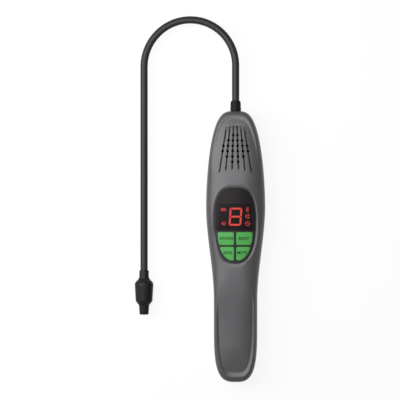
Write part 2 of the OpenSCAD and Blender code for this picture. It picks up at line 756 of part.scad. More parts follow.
// One strip that joins both cells at the lower end
module contact_bridge() {
    color([0.8, 0.8, 0.78]) translate([0, bay_low + touch, cell_z]) {
        for (s = [-1, 1]) translate([s * cell_x, 0, 0]) leaf(leaf_w);
        translate([-cell_x, 0, -leaf_h / 2]) cube([2 * cell_x, leaf_t, 0.4 * leaf_h / 2]);
    }
}

module housing_screws() {
    color([0.6, 0.6, 0.62]) for (p = screw_spots) translate([p.x, p.y, screw_seat]) {
        cylinder(d = screw_d, h = parting_z + screw_reach - screw_seat);
        translate([0, 0, -screw_head_h]) difference() {
            cylinder(d = screw_head_d, h = screw_head_h);
            for (a = [0, 90]) rotate([0, 0, a]) translate([-1.6, -0.4, -1]) cube([3.2, 0.8, 2]);
        }
    }
}

// Boot with a neck in the wall, a flange inside and a bore for the sleeve
module strain_relief() {
    bore = sleeve_d / 2 + 0.05;
    neck = (boot_d - 1) / 2;
    base = boot_d / 2;
    tip = boot_top_d / 2;
    wall_in = wall + 1.3;
    color([0.09, 0.09, 0.09]) translate([0, top_y, parting_z]) rotate([-90, 0, 0]) rotate_extrude()
        polygon([[bore, -wall_in - 2], [neck + 1.4, -wall_in - 2], [neck + 1.4, -wall_in], [neck, -wall_in],
            [neck, 0.1], [base, 0.1], [base, 0.9], [tip, boot_len - 0.7], [tip - 0.6, boot_len],
            [bore, boot_len]]);
}

// Frame of the gooseneck: its bend leans so that the tip rests beside the housing
module neck_frame() {
    translate([0, 0, parting_z]) rotate([0, -tilt, 0]) children();
}

// Round bar along the gooseneck: up from the housing, round the bend and down
module neck_run(d, y0, y1) {
    bar_y(d, y0, bend_y);
    translate([-bend_r, bend_y, 0]) rotate_extrude(angle = 180, $fn = 96)
        translate([bend_r, 0]) circle(d = d);
    translate([-2 * bend_r, 0, 0]) bar_y(d, y1, bend_y);
}

neck_end = tip_y - neck_depth + 0.1;

module gooseneck_sleeve() {
    color([0.07, 0.07, 0.07]) neck_frame() difference() {
        neck_run(sleeve_d, inner_y, neck_end);
        neck_run(sleeve_d - 2 * sleeve_wall, inner_y - 1, neck_end - 1);
    }
}

module gooseneck_core() {
    color([0.6, 0.6, 0.62]) neck_frame() difference() {
        neck_run(core_d, inner_y - 2, neck_end);
        neck_run(core_bore, inner_y - 3, neck_end - 1);
    }
}

module sensor_lead() {
    color([0.5, 0.1, 0.1]) neck_frame() neck_run(lead_d, lead_y - connector_l / 2 + 0.2, tip_y - spigot_end);
}

// Frame of the sensor tip: its axis points away from the collar
module tip_frame() {
    neck_frame() translate([-2 * bend_r, tip_y, 0]) rotate([90, 0, 0]) children();
}

// Collar with its concave flare, and the spigot that the cap pushes onto
module sensor_collar() {
    r = collar_d / 2;
    sr = spigot_d / 2;
    flare = [for (i = [0 : 8]) let (u = i / 8)
        [r + (flare_d / 2 - r) * u * u, flare_from + (collar_len - flare_from) * u]];
    color([0.1, 0.1, 0.1]) tip_frame() rotate_extrude()
        polygon(concat([[neck_bore, 0], [r - 0.7, 0], [r, 0.9]], flare,
            [[sr, collar_len], [sr, groove_at], [sr - 0.9, groove_at], [sr - 0.9, groove_at + 1.2],
            [sr, groove_at + 1.2], [sr, spigot_end - 0.4], [sr - 0.4, spigot_end],
            [lead_d / 2 + 0.2, spigot_end], [lead_d / 2 + 0.2, neck_depth], [neck_bore, neck_depth]]));
}

module seal_ring() {
    color([0.2, 0.08, 0.05]) tip_frame() translate([0, 0, groove_at + 0.6]) rotate_extrude()
        translate([spigot_d / 2 - 0.9 + ring_d / 2, 0]) circle(d = ring_d, $fn = 32);
}

module sensor_socket() {
    color([0.85, 0.83, 0.75]) tip_frame() translate([0, 0, spigot_end]) difference() {
        cylinder(d = socket_d, h = socket_h);
        sensor_pins(socket_h - 2, 3, pin_d + 0.1);
    }
}

// Ring of four sensor pins
module sensor_pins(z, h, d) {
    for (a = [45 : 90 : 315]) rotate([0, 0, a]) translate([pin_ring, 0, z]) cylinder(d = d, h = h);
}

// Metal can with a flange, pins and an open top
module sensor_element() {
    base = spigot_end + socket_h;
    can_h = filter_at - 0.6 - base;
    color([0.78, 0.72, 0.5]) tip_frame() translate([0, 0, base]) {
        difference() {
            union() {
                cylinder(d = socket_d - 0.4, h = 0.6);
                cylinder(d = socket_d - 1.8, h = can_h);
            }
            translate([0, 0, can_h - 0.8]) cylinder(d = socket_d - 4.8, h = 2);
        }
        sensor_pins(-1.8, 1.8 + touch, pin_d);
    }
}

module filter_disc() {
    color([0.9, 0.9, 0.88]) tip_frame() translate([0, 0, filter_at])
        cylinder(r = cap_bore - 0.1, h = filter_t);
}

// Cap with a rounded shoulder, a tapered barrel, a chamfer and the inlet nozzle
module sensor_cap() {
    big = cap_d / 2;
    barrel = big - 0.82;
    inlet = inlet_d / 2;
    shoulder_len = 3.6;
    seat = filter_at + filter_t;
    shoulder_line = [for (i = [0 : 8]) let (u = i / 8)
        [flare_d / 2 + (big - flare_d / 2) * pow(sin(90 * u), 0.8), collar_len + shoulder_len * u]];
    color([0.1, 0.1, 0.1]) tip_frame() rotate_extrude()
        polygon(concat([[cap_bore, collar_len]], shoulder_line,
            [[barrel, seat - 0.4], [barrel - 0.1, seat + 0.2], [inlet + 2.3, seat + 3.4],
            [inlet + 1.95, seat + 4.4], [inlet + 1.45, cap_end - 0.6], [inlet + 1, cap_end],
            [inlet, cap_end], [inlet, seat + 4], [cap_bore - 1, seat], [cap_bore, seat]]));
}

front_shell();
rear_shell();
battery_door();
panel_bezel();
display_window();
power_key();
reset_key();
sensitivity_key();
mute_key();
power_plunger();
reset_plunger();
sensitivity_plunger();
mute_plunger();
power_switch();
reset_switch();
sensitivity_switch();
mute_switch();
led_display();
circuit_board();
board_screws();
lead_connector();
sounder();
cell_left();
cell_right();
contact_left();
contact_right();
contact_bridge();
housing_screws();
strain_relief();
gooseneck_sleeve();
gooseneck_core();
sensor_lead();
sensor_collar();
seal_ring();
sensor_socket();
sensor_element();
filter_disc();
sensor_cap();
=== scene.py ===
"""Looks of a handheld refrigerant leak detector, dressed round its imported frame."""
import logging
import math
from dataclasses import dataclass, field
from enum import Enum
from typing import Any, Callable, Sequence

import bpy
from mathutils import Matrix, Vector


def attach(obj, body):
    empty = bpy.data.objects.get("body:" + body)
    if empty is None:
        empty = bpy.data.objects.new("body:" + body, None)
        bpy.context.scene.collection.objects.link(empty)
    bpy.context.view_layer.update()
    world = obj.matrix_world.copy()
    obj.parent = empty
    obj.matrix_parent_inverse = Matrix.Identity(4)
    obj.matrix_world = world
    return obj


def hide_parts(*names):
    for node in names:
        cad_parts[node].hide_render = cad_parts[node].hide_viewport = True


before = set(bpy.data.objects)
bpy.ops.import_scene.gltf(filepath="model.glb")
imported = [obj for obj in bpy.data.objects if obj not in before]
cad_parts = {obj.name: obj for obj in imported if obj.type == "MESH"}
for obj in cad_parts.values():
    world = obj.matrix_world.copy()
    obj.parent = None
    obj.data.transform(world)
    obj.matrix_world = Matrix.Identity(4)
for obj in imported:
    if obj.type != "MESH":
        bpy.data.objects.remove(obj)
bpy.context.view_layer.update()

MM = 0.001
SPINE = 1e-5  # scale of a ring that is drawn onto the middle line, to be merged there
NEAR = 0.001  # millimetres that two points of one level may differ by
SPARE = 1.0  # millimetres that a cutting tool reaches past what it cuts
FINE_MERGE = 0.0005  # merging distance of prints and inlays, in millimetres
RUN_MM = "run_mm"  # attribute that holds the distance along the neck
WHITE = (1.0, 1.0, 1.0, 1.0)
LOG = logging.getLogger("leak_detector")
Piece = bpy.types.Object
Point = tuple[float, float]
Place = tuple[float, float, float]
Ring = list[Place]
Colour = tuple[float, float, float]
Height = Callable[[float, float], float]


class Body(Enum):
    """Bodies of the frame that pieces ride on."""

    HOUSING = "housing"
    POWER = "power_key"
    RESET = "reset_key"
    SENSITIVITY = "sensitivity_key"
    MUTE = "mute_key"
    DOOR = "battery_door"
    CAP = "sensor_cap"


class Cut(Enum):
    """Ways in which one solid changes another."""

    REMOVE = "DIFFERENCE"
    ADD = "UNION"
    SHARED = "INTERSECT"


class Bench:
    """Modelling steps that act on one object at a time."""

    @staticmethod
    def clear() -> None:
        """Leave edit mode and deselect everything."""
        if bpy.context.object and bpy.context.object.mode != "OBJECT":
            bpy.ops.object.mode_set(mode="OBJECT")
        bpy.ops.object.select_all(action="DESELECT")

    @staticmethod
    def take(obj: Piece) -> None:
        """Make one object the only selected and active one.

        Args:
            obj: Object to work on.
        """
        Bench.clear()
        obj.select_set(True)
        bpy.context.view_layer.objects.active = obj

    @staticmethod
    def edit(obj: Piece, select: str = "SELECT") -> None:
        """Enter edit mode on an object, with all or none of its mesh selected.

        Args:
            obj: Object to work on.
            select: Action on the selection.
        """
        Bench.take(obj)
        bpy.ops.object.mode_set(mode="EDIT")
        bpy.ops.mesh.select_all(action=select)

    @staticmethod
    def done() -> None:
        """Go back to object mode."""
        bpy.ops.object.mode_set(mode="OBJECT")

    @staticmethod
    def edit_edges(obj: Piece, test: Callable[[Vector, Vector], bool]) -> None:
        """Enter edit mode with the edges selected whose two ends pass a test.

        Args:
            obj: Mesh object.
            test: Takes the two ends of an edge, in millimetres.
        """
        Bench.edit(obj, "DESELECT")
        bpy.ops.mesh.select_mode(type="EDGE")
        Bench.done()
        points = [vertex.co / MM for vertex in obj.data.vertices]
        for edge in obj.data.edges:
            first, second = edge.vertices
            edge.select = test(points[first], points[second])
        bpy.ops.object.mode_set(mode="EDIT")

    @staticmethod
    def modify(obj: Piece, kind: str, **settings: Any) -> None:
        """Add a modifier with its settings and apply it.

        Args:
            obj: Object to change.
            kind: Type of the modifier.
            settings: Values of its properties.
        """
        Bench.take(obj)
        modifier = obj.modifiers.new(kind.title(), kind)
        for key, value in settings.items():
            setattr(modifier, key, value)
        bpy.ops.object.modifier_apply(modifier=modifier.name)

    @staticmethod
    def combine(obj: Piece, way: Cut, *tools: Piece) -> None:
        """Cut, join or intersect an object with tool objects, which are used up.

        Args:
            obj: Object to change.
            way: What happens to the object.
            tools: Closed solids that do it, one after the other.
        """
        for tool in tools:
            Bench.modify(obj, "BOOLEAN", operation=way.value, object=tool, solver="MANIFOLD")
            bpy.data.objects.remove(tool)

    @staticmethod
    def join(name: str, parts: Sequence[Piece]) -> Piece:
        """Join several mesh objects into one.

        Args:
            name: Name of the joined object.
            parts: Objects to join.

        Returns:
            The joined object.
        """
        Bench.take(parts[0])
        for part in parts:
            part.select_set(True)
        if len(parts) > 1:
            bpy.ops.object.join()
        return Bench.rename(parts[0], name)

    @staticmethod
    def copy(obj: Piece, shift: Place, turn_deg: float) -> Piece:
        """Copy an object with its own mesh, turned about Z and then shifted.

        Args:
            obj: Object to copy.
            shift: Distance to move it, in millimetres.
            turn_deg: Angle about the vertical, in degrees.

        Returns:
            The copy.
        """
        twin = obj.copy()
        twin.data = obj.data.copy()
        bpy.context.scene.collection.objects.link(twin)
        turn = Matrix.Rotation(math.radians(turn_deg), 4, "Z")
        twin.data.transform(Matrix.Translation(Vector(shift) * MM) @ turn)
        return twin

    @staticmethod
    def rename(obj: Piece, name: str) -> Piece:
        """Give an object and its mesh a name.

        Args:
            obj: Object to work on.
            name: New name.

        Returns:
            The object.
        """
        obj.name = name
        obj.data.name = name
        return obj

    @staticmethod
    def tidy(obj: Piece, merge_mm: float = 0.002) -> Piece:
        """Merge doubled points and turn all faces outwards.

        Args:
            obj: Object to work on.
            merge_mm: Distance within which points merge.

        Returns:
            The object.
        """
        Bench.edit(obj)
        bpy.ops.mesh.remove_doubles(threshold=merge_mm * MM)
        bpy.ops.mesh.normals_make_consistent(inside=False)
        Bench.done()
        return obj

    @staticmethod
    def smooth(obj: Piece, angle_deg: float) -> Piece:
        """Shade an object smooth, with edges sharper than an angle kept.

        Args:
            obj: Object to work on.
            angle_deg: The angle, in degrees.

        Returns:
            The object.
        """
        Bench.take(obj)
        bpy.ops.object.shade_smooth_by_angle(angle=math.radians(angle_deg))
        return obj

    @staticmethod
    def shape(obj: Piece, rule: Callable[[Vector], Place]) -> Piece:
        """Move every point of a mesh by a rule in millimetres.

        Args:
            obj: Object to work on.
            rule: Takes a point and gives its new place.

        Returns:
            The object.
        """
        for vertex in obj.data.vertices:
            vertex.co = Vector(rule(vertex.co / MM)) * MM
        obj.data.update()
        return obj

    @staticmethod
    def block(name: str, low: Place, high: Place) -> Piece:
        """Add a cube between two corners.

        Args:
            name: Name of the object.
            low: Lowest corner, in millimetres.
            high: Highest corner, in millimetres.

        Returns:
            The block.
        """
        Bench.clear()
        bpy.ops.mesh.primitive_cube_add(size=2 * MM)
        middle = (Vector(low) + Vector(high)) / 2
        half = (Vector(high) - Vector(low)) / 2
        cube = Bench.rename(bpy.context.object, name)
        return Bench.shape(cube, lambda p: tuple(middle[i] + p[i] * half[i] for i in range(3)))


class RingLoft:
    """Skin that starts as a circle and is extruded ring by ring."""

    def __init__(self, name: str, first: Ring, filled: bool = True) -> None:
        """Add the first ring.

        Args:
            name: Name of the object.
            first: Points of the first ring, in millimetres.
            filled: Whether the ring is closed with a face.
        """
        Bench.clear()
        fill = "NGON" if filled else "NOTHING"
        bpy.ops.mesh.primitive_circle_add(vertices=len(first), radius=MM, fill_type=fill)
        self.obj = Bench.rename(bpy.context.object, name)
        self.last = list(range(len(first)))
        self._put(first)

    def _put(self, ring: Ring) -> None:
        """Move the points of the last ring to their places."""
        for number, point in zip(self.last, ring):
            self.obj.data.vertices[number].co = Vector(point) * MM

    def _edit_last(self) -> None:
        """Enter edit mode with the edges of the last ring selected."""
        keep = set(self.last)
        Bench.edit(self.obj, "DESELECT")
        bpy.ops.mesh.select_mode(type="EDGE")
        Bench.done()
        for edge in self.obj.data.edges:
            edge.select = keep.issuperset(edge.vertices)
        bpy.ops.object.mode_set(mode="EDIT")

    def extrude(self, *rings: Ring) -> "RingLoft":
        """Extrude the last ring once for each new ring.

        Args:
            rings: Points of the new rings, in millimetres.

        Returns:
            The loft itself.
        """
        for ring in rings:
            vertices = self.obj.data.vertices
            order = {tuple(vertices[number].co): i for i, number in enumerate(self.last)}
            start = len(vertices)
            self._edit_last()
            bpy.ops.mesh.extrude_edges_move()
            Bench.done()
            fresh = self.obj.data.vertices[start:]
            found = {order[tuple(vertex.co)]: vertex.index for vertex in fresh}
            self.last = [found[i] for i in range(len(found))]
            self._put(ring)
        return self

    def closed(self) -> Piece:
        """Close the last ring with a face.

        Returns:
            The closed object.
        """
        self._edit_last()
        bpy.ops.mesh.edge_face_add()
        Bench.done()
        return Bench.tidy(self.obj)

    def merged(self) -> Piece:
        """Merge the points that meet and return the finished object."""
        return Bench.tidy(self.obj)


class Turning:
    """Rings for a piece that is round about a line."""

    def __init__(self, place: Callable[[float, float, float], Place], sides: int = 64) -> None:
        """Keep where a turned point goes.

        Args:
            place: Takes two distances across the line and one along it.
            sides: Points in a ring.
        """
        self.place = place
        self.angles = [2 * math.pi * i / sides for i in range(sides)]

    def ring(self, radius: float, along: float) -> Ring:
        """Points of one ring about the line."""
        return [self.place(radius * math.cos(a), radius * math.sin(a), along) for a in self.angles]

    def turn(self, name: str, profile: Sequence[Point], hollow: bool = False) -> Piece:
        """Turn a profile of radius and distance along the line.

        Args:
            name: Name of the object.
            profile: Radius and distance of each point.
            hollow: Whether the profile is a closed loop round a bore.

        Returns:
            The turned piece.
        """
        first, *rest = [self.ring(radius, along) for radius, along in profile]
        loft = RingLoft(name, first, filled=not hollow).extrude(*rest)
        return loft.extrude(first).merged() if hollow else loft.closed()


class Plate:
    """Flat piece extruded from an outline, to be bent over a crown later."""

    def __init__(self, name: str, outline: Sequence[Point], low: float, high: float) -> None:
        """Extrude the outline between two heights.

        Args:
            name: Name of the object.
            outline: Corner points, in millimetres.
            low: Height of the underside.
            high: Height of the top.
        """
        base = [(x, y, low) for x, y in outline]
        top = [(x, y, high) for x, y in outline]
        self.obj = RingLoft(name, base).extrude(top).closed()
        self.high = high

    def soften(self, width: float, segments: int = 4) -> "Plate":
        """Round the edges around the top.

        Args:
            width: Width of the rounding.
            segments: Facets of the rounding.

        Returns:
            The plate.
        """
        level = self.high - NEAR
        Bench.edit_edges(self.obj, lambda a, b: min(a.z, b.z) > level)
        bpy.ops.mesh.bevel(offset=width * MM, segments=segments, affect="EDGES", clamp_overlap=True)
        Bench.done()
        return self

    def strips(self, step: float) -> "Plate":
        """Cut the plate into strips along Y, so that it can bend.

        Args:
            step: Width of a strip, at most about this.

        Returns:
            The plate.
        """
        xs = [vertex.co.x / MM for vertex in self.obj.data.vertices]
        count = max(1, round((max(xs) - min(xs)) / step))
        pitch = (max(xs) - min(xs)) / count
        Bench.edit(self.obj)
        for i in range(1, count):
            bpy.ops.mesh.select_all(action="SELECT")
            place = ((min(xs) + i * pitch) * MM, 0, 0)
            bpy.ops.mesh.bisect(plane_co=place, plane_no=(1, 0, 0))
        Bench.done()
        return self


class Value:
    """Number socket of a shader, whose arithmetic adds Math nodes."""

    def __init__(self, shader: "Shader", socket: bpy.types.NodeSocket) -> None:
        """Keep the socket and the shader that it belongs to."""
        self.shader = shader
        self.socket = socket

    def _math(self, operation: str, *values: Any, clamp: bool = False) -> "Value":
        """Add a Math node on some values.

        Args:
            operation: Kind of arithmetic.
            values: Values or numbers, in order.
            clamp: Whether the result is held between 0 and 1.

        Returns:
            The result.
        """
        settings = {"operation": operation, "use_clamp": clamp}
        made = self.shader.node("ShaderNodeMath", settings, dict(enumerate(values)))
        return Value(self.shader, made.outputs[0])

    def __add__(self, other: Any) -> "Value":
        """Sum with a value or number."""
        return self._math("ADD", self, other)

    def __sub__(self, other: Any) -> "Value":
        """Difference from a value or number."""
        return self._math("SUBTRACT", self, other)

    def __rsub__(self, other: Any) -> "Value":
        """Number less this value."""
        return self._math("SUBTRACT", other, self)

    def __mul__(self, other: Any) -> "Value":
        """Product with a value or number."""
        return self._math("MULTIPLY", self, other)

    def __gt__(self, other: Any) -> "Value":
        """One where this value is larger, and zero elsewhere."""
        return self._math("GREATER_THAN", self, other)

    def __lt__(self, other: Any) -> "Value":
        """One where this value is smaller, and zero elsewhere."""
        return self._math("LESS_THAN", self, other)

    def size(self) -> "Value":
        """Value without its sign."""
        return self._math("ABSOLUTE", self)

    def sine(self) -> "Value":
        """Sine of the value in radians."""
        return self._math("SINE", self)

    def within(self) -> "Value":
        """Value held between zero and one."""
        return self._math("ADD", self, 0.0, clamp=True)


def darker(colour: Colour, share: float) -> Colour:
    """Colour with a share of its light."""
    red, green, blue = colour
    return (red * share, green * share, blue * share)


class Shader:
    """Node tree of one material, or of the sky."""

    def __init__(self, name: str, sky: bool = False) -> None:
        """Start an empty tree.

        Args:
            name: Name of the material or the sky.
            sky: Whether the tree is that of a sky.
        """
        self.owner = (bpy.data.worlds if sky else bpy.data.materials).new(name)
        self.owner.use_nodes = True
        self.tree = self.owner.node_tree
        self.tree.nodes.clear()

    def node(self, kind: str, settings: dict[str, Any], inputs: dict[Any, Any]) -> bpy.types.Node:
        """Add a node, set its settings and then its sockets.

        Args:
            kind: Type of the node.
            settings: Values of its properties.
            inputs: Values or links by socket name or number.

        Returns:
            The new node.
        """
        made = self.tree.nodes.new(kind)
        for key, value in settings.items():
            setattr(made, key, value)
        for key, value in inputs.items():
            link = value.socket if isinstance(value, Value) else value
            if isinstance(link, bpy.types.NodeSocket):
                self.tree.links.new(link, made.inputs[key])
            else:
                made.inputs[key].default_value = link
        return made

    def place(self) -> bpy.types.NodeSocket:
        """Object coordinates of the surface."""
        return self.node("ShaderNodeTexCoord", {}, {}).outputs["Object"]

    def axes(self) -> tuple[Value, Value, Value]:
        """Object coordinates in millimetres, one value for each axis.

        Returns:
            The values of X, Y and Z.
        """
        parts = self.node("ShaderNodeSeparateXYZ", {}, {0: self.place()})
        x, y, z = (Value(self, output) * (1 / MM) for output in parts.outputs)
        return x, y, z

    def noise(self, grain_mm: float, detail: float = 2.0) -> Value:
        """Noise with grains of a size in millimetres, from zero to one."""
        inputs = {"Vector": self.place(), "Scale": 1 / (grain_mm * MM), "Detail": detail}
        return Value(self, self.node("ShaderNodeTexNoise", {}, inputs).outputs[0])

    def mix(self, share: Any, first: Any, second: Any) -> bpy.types.NodeSocket:
        """Mix two colours by a share of the second."""
        inputs = {0: share, 6: self._rgba(first), 7: self._rgba(second)}
        return self.node("ShaderNodeMix", {"data_type": "RGBA"}, inputs).outputs[2]

    def clouded(self, cloud: Value, colour: Colour, low: float, high: float = 1.0) -> bpy.types.NodeSocket:
        """Colour whose light goes with a noise from a low to a high share."""
        return self.mix(cloud, darker(colour, low), darker(colour, high))

    @staticmethod
    def uneven(middle: float, *swings: tuple[Value, float]) -> Value:
        """Value that swings about a middle with some noises.

        Args:
            middle: Middle of the value.
            swings: Noises, each with the amount that it adds from its zero to its one.

        Returns:
            The swinging value.
        """
        level: Any = middle - sum(amount for _, amount in swings) / 2
        for noise, amount in swings:
            level = noise * amount + level
        return level

    @staticmethod
    def _rgba(colour: Any) -> Any:
        """Colour with its alpha, or a link as it is."""
        return (*colour, 1.0) if isinstance(colour, tuple) else colour

    def bump(self, height: Value, depth_mm: float) -> bpy.types.NodeSocket:
        """Normal of a surface that is rough by a depth in millimetres."""
        inputs = {"Strength": 1.0, "Distance": depth_mm * MM, "Height": height}
        return self.node("ShaderNodeBump", {}, inputs).outputs[0]

    def surface(self, **inputs: Any) -> bpy.types.Material:
        """Add the surface shader with its sockets and return the material.

        Args:
            inputs: Values or links by socket name, with _ for a space.

        Returns:
            The finished material.
        """
        named = {key.replace("_", " "): self._rgba(value) for key, value in inputs.items()}
        shader = self.node("ShaderNodeBsdfPrincipled", {}, named)
        self.node("ShaderNodeOutputMaterial", {}, {"Surface": shader.outputs[0]})
        return self.owner


@dataclass(frozen=True)
class Finish:
    """Look of a piece: the name of its material and the slot that it fills."""

    name: str
    slot: str

    def material(self) -> bpy.types.Material:
        """Make the material."""
        raise NotImplementedError


@dataclass(frozen=True)
class MouldedPlastic(Finish):
    """Moulded plastic or rubber with a fine spark grain."""

    colour: Colour
    roughness: float
    grain_mm: float = 0.35
    depth_mm: float = 0.012
    cloud_mm: float = 14.0
    shade: float = 0.1
    grain_gloss: float = 0.08
    cloud_gloss: float = 0.06
    specular: float = 0.5
    tint: Colour = (1.0, 0.97, 1.0)

    def material(self) -> bpy.types.Material:
        """Make the material: cloudy colour, uneven gloss and grain.

        Returns:
            The material.
        """
        shader = Shader(self.name)
        cloud = shader.noise(self.cloud_mm, detail=3.0)
        grain = shader.noise(self.grain_mm)
        colour = shader.clouded(cloud, self.colour, 1 - self.shade, 1 + self.shade)
        gloss = shader.uneven(self.roughness, (grain, self.grain_gloss), (cloud, self.cloud_gloss))
        return shader.surface(Base_Color=colour, Roughness=gloss, Specular_IOR_Level=self.specular,
                              Specular_Tint=self.tint, Normal=shader.bump(grain, self.depth_mm))


@dataclass(frozen=True)
class DisplayGloss(Finish):
    """Black gloss window, with the faint red field of the display behind it."""

    colour: Colour
    field_colour: Colour
    middle: Point
    half: Point
    haze_mm: float = 6.0
    roughness: float = 0.48
    haze_gloss: float = 0.06
    specular: float = 0.05
    coat: float = 0.06
    field_coat: float = 0.01
    coat_roughness: float = 0.5

    def material(self) -> bpy.types.Material:
        """Make the material: a mask of the field, and a hard coat.

        Returns:
            The material.
        """
        shader = Shader(self.name)
        x, y, _ = shader.axes()
        across = (x - self.middle[0]).size() < self.half[0]
        along = (y - self.middle[1]).size() < self.half[1]
        inside = across * along
        gloss = shader.uneven(self.roughness, (shader.noise(self.haze_mm), self.haze_gloss))
        return shader.surface(Base_Color=shader.mix(inside, self.colour, self.field_colour),
                              Roughness=gloss, Specular_IOR_Level=self.specular,
                              Coat_Weight=self.coat - inside * (self.coat - self.field_coat),
                              Coat_Roughness=self.coat_roughness)


@dataclass(frozen=True)
class RibbedSleeve(Finish):
    """Black sleeve with the turns of its core showing through a little."""

    colour: Colour
    roughness: float
    turn_mm: float
    depth_mm: float
    grain_mm: float = 0.3
    cloud_mm: float = 9.0
    shade: float = 0.15
    cloud_gloss: float = 0.1
    rib_share: float = 0.5
    grain_share: float = 0.3
    specular: float = 0.22

    def material(self) -> bpy.types.Material:
        """Make the material: ribs along the run, and a fine grain.

        Returns:
            The material.
        """
        shader = Shader(self.name)
        run = shader.node("ShaderNodeAttribute", {"attribute_name": RUN_MM}, {})
        ribs = (Value(shader, run.outputs["Fac"]) * (2 * math.pi / self.turn_mm)).sine()
        relief = ribs * self.rib_share + shader.noise(self.grain_mm) * self.grain_share
        cloud = shader.noise(self.cloud_mm, detail=3.0)
        return shader.surface(Base_Color=shader.clouded(cloud, self.colour, 1 - self.shade, 1 + self.shade),
                              Roughness=shader.uneven(self.roughness, (cloud, self.cloud_gloss)),
                              Specular_IOR_Level=self.specular, Normal=shader.bump(relief, self.depth_mm))


@dataclass(frozen=True)
class Glow(Finish):
    """Lit segments of the display."""

    colour: Colour
    strength: float
    cloud_mm: float = 1.5
    shade: float = 0.08
    unlit: float = 0.05

    def material(self) -> bpy.types.Material:
        """Make the material: light that is a little uneven over a segment.

        Returns:
            The material.
        """
        shader = Shader(self.name)
        glow = shader.clouded(shader.noise(self.cloud_mm), self.colour, 1 - self.shade)
        return shader.surface(Base_Color=darker(self.colour, self.unlit), Roughness=0.5,
                              Specular_IOR_Level=0.05, Emission_Color=glow, Emission_Strength=self.strength)


@dataclass(frozen=True)
class BareMetal(Finish):
    """Plated or drawn metal with fine scratches."""

    colour: Colour
    roughness: float
    cloud_mm: float = 3.0
    shade: float = 0.2
    scratch_mm: float = 0.5
    scratch_gloss: float = 0.2
    depth_mm: float = 0.004

    def material(self) -> bpy.types.Material:
        """Make the material: tarnish in clouds, and an uneven gloss.

        Returns:
            The material.
        """
        shader = Shader(self.name)
        cloud = shader.noise(self.cloud_mm, detail=4.0)
        scratch = shader.noise(self.scratch_mm, detail=5.0)
        return shader.surface(Base_Color=shader.clouded(cloud, self.colour, 1 - self.shade), Metallic=1.0,
                              Roughness=shader.uneven(self.roughness, (scratch, self.scratch_gloss)),
                              Normal=shader.bump(scratch, self.depth_mm))


@dataclass(frozen=True)
class BandedJacket(Finish):
    """Printed jacket of a dry cell: a broad dark band and a bright end."""

    dark: Colour
    bright: Colour
    middle_y: float
    bright_from: float
    haze_mm: float = 4.0
    roughness: float = 0.275
    haze_gloss: float = 0.15

    def material(self) -> bpy.types.Material:
        """Make the material: bands along the cell under a clear film.

        Returns:
            The material.
        """
        shader = Shader(self.name)
        _, y, _ = shader.axes()
        band = (y - self.middle_y) > self.bright_from
        haze = shader.noise(self.haze_mm, detail=3.0)
        gloss = shader.uneven(self.roughness, (haze, self.haze_gloss))
        return shader.surface(Base_Color=shader.mix(band, self.dark, self.bright), Metallic=0.6,
                              Roughness=gloss, Coat_Weight=0.6)


@dataclass(frozen=True)
class SolderMask(Finish):
    """Green board with copper tracks under the mask."""

    colour: Colour
    track: Colour
    cell_mm: float = 2.5
    track_from: float = 0.42
    track_share: float = 0.5
    depth_mm: float = 0.03
    haze_mm: float = 0.8
    roughness: float = 0.35
    haze_gloss: float = 0.1

    def material(self) -> bpy.types.Material:
        """Make the material: tracks as the edges of square cells.

        Returns:
            The material.
        """
        shader = Shader(self.name)
        inputs = {"Vector": shader.place(), "Scale": 1 / (self.cell_mm * MM)}
        cells = shader.node("ShaderNodeTexVoronoi", {"distance": "CHEBYCHEV"}, inputs)
        track = Value(shader, cells.outputs["Distance"]) > self.track_from
        gloss = shader.uneven(self.roughness, (shader.noise(self.haze_mm), self.haze_gloss))
        return shader.surface(Base_Color=shader.mix(track * self.track_share, self.colour, self.track),
                              Roughness=gloss, Normal=shader.bump(track, self.depth_mm))


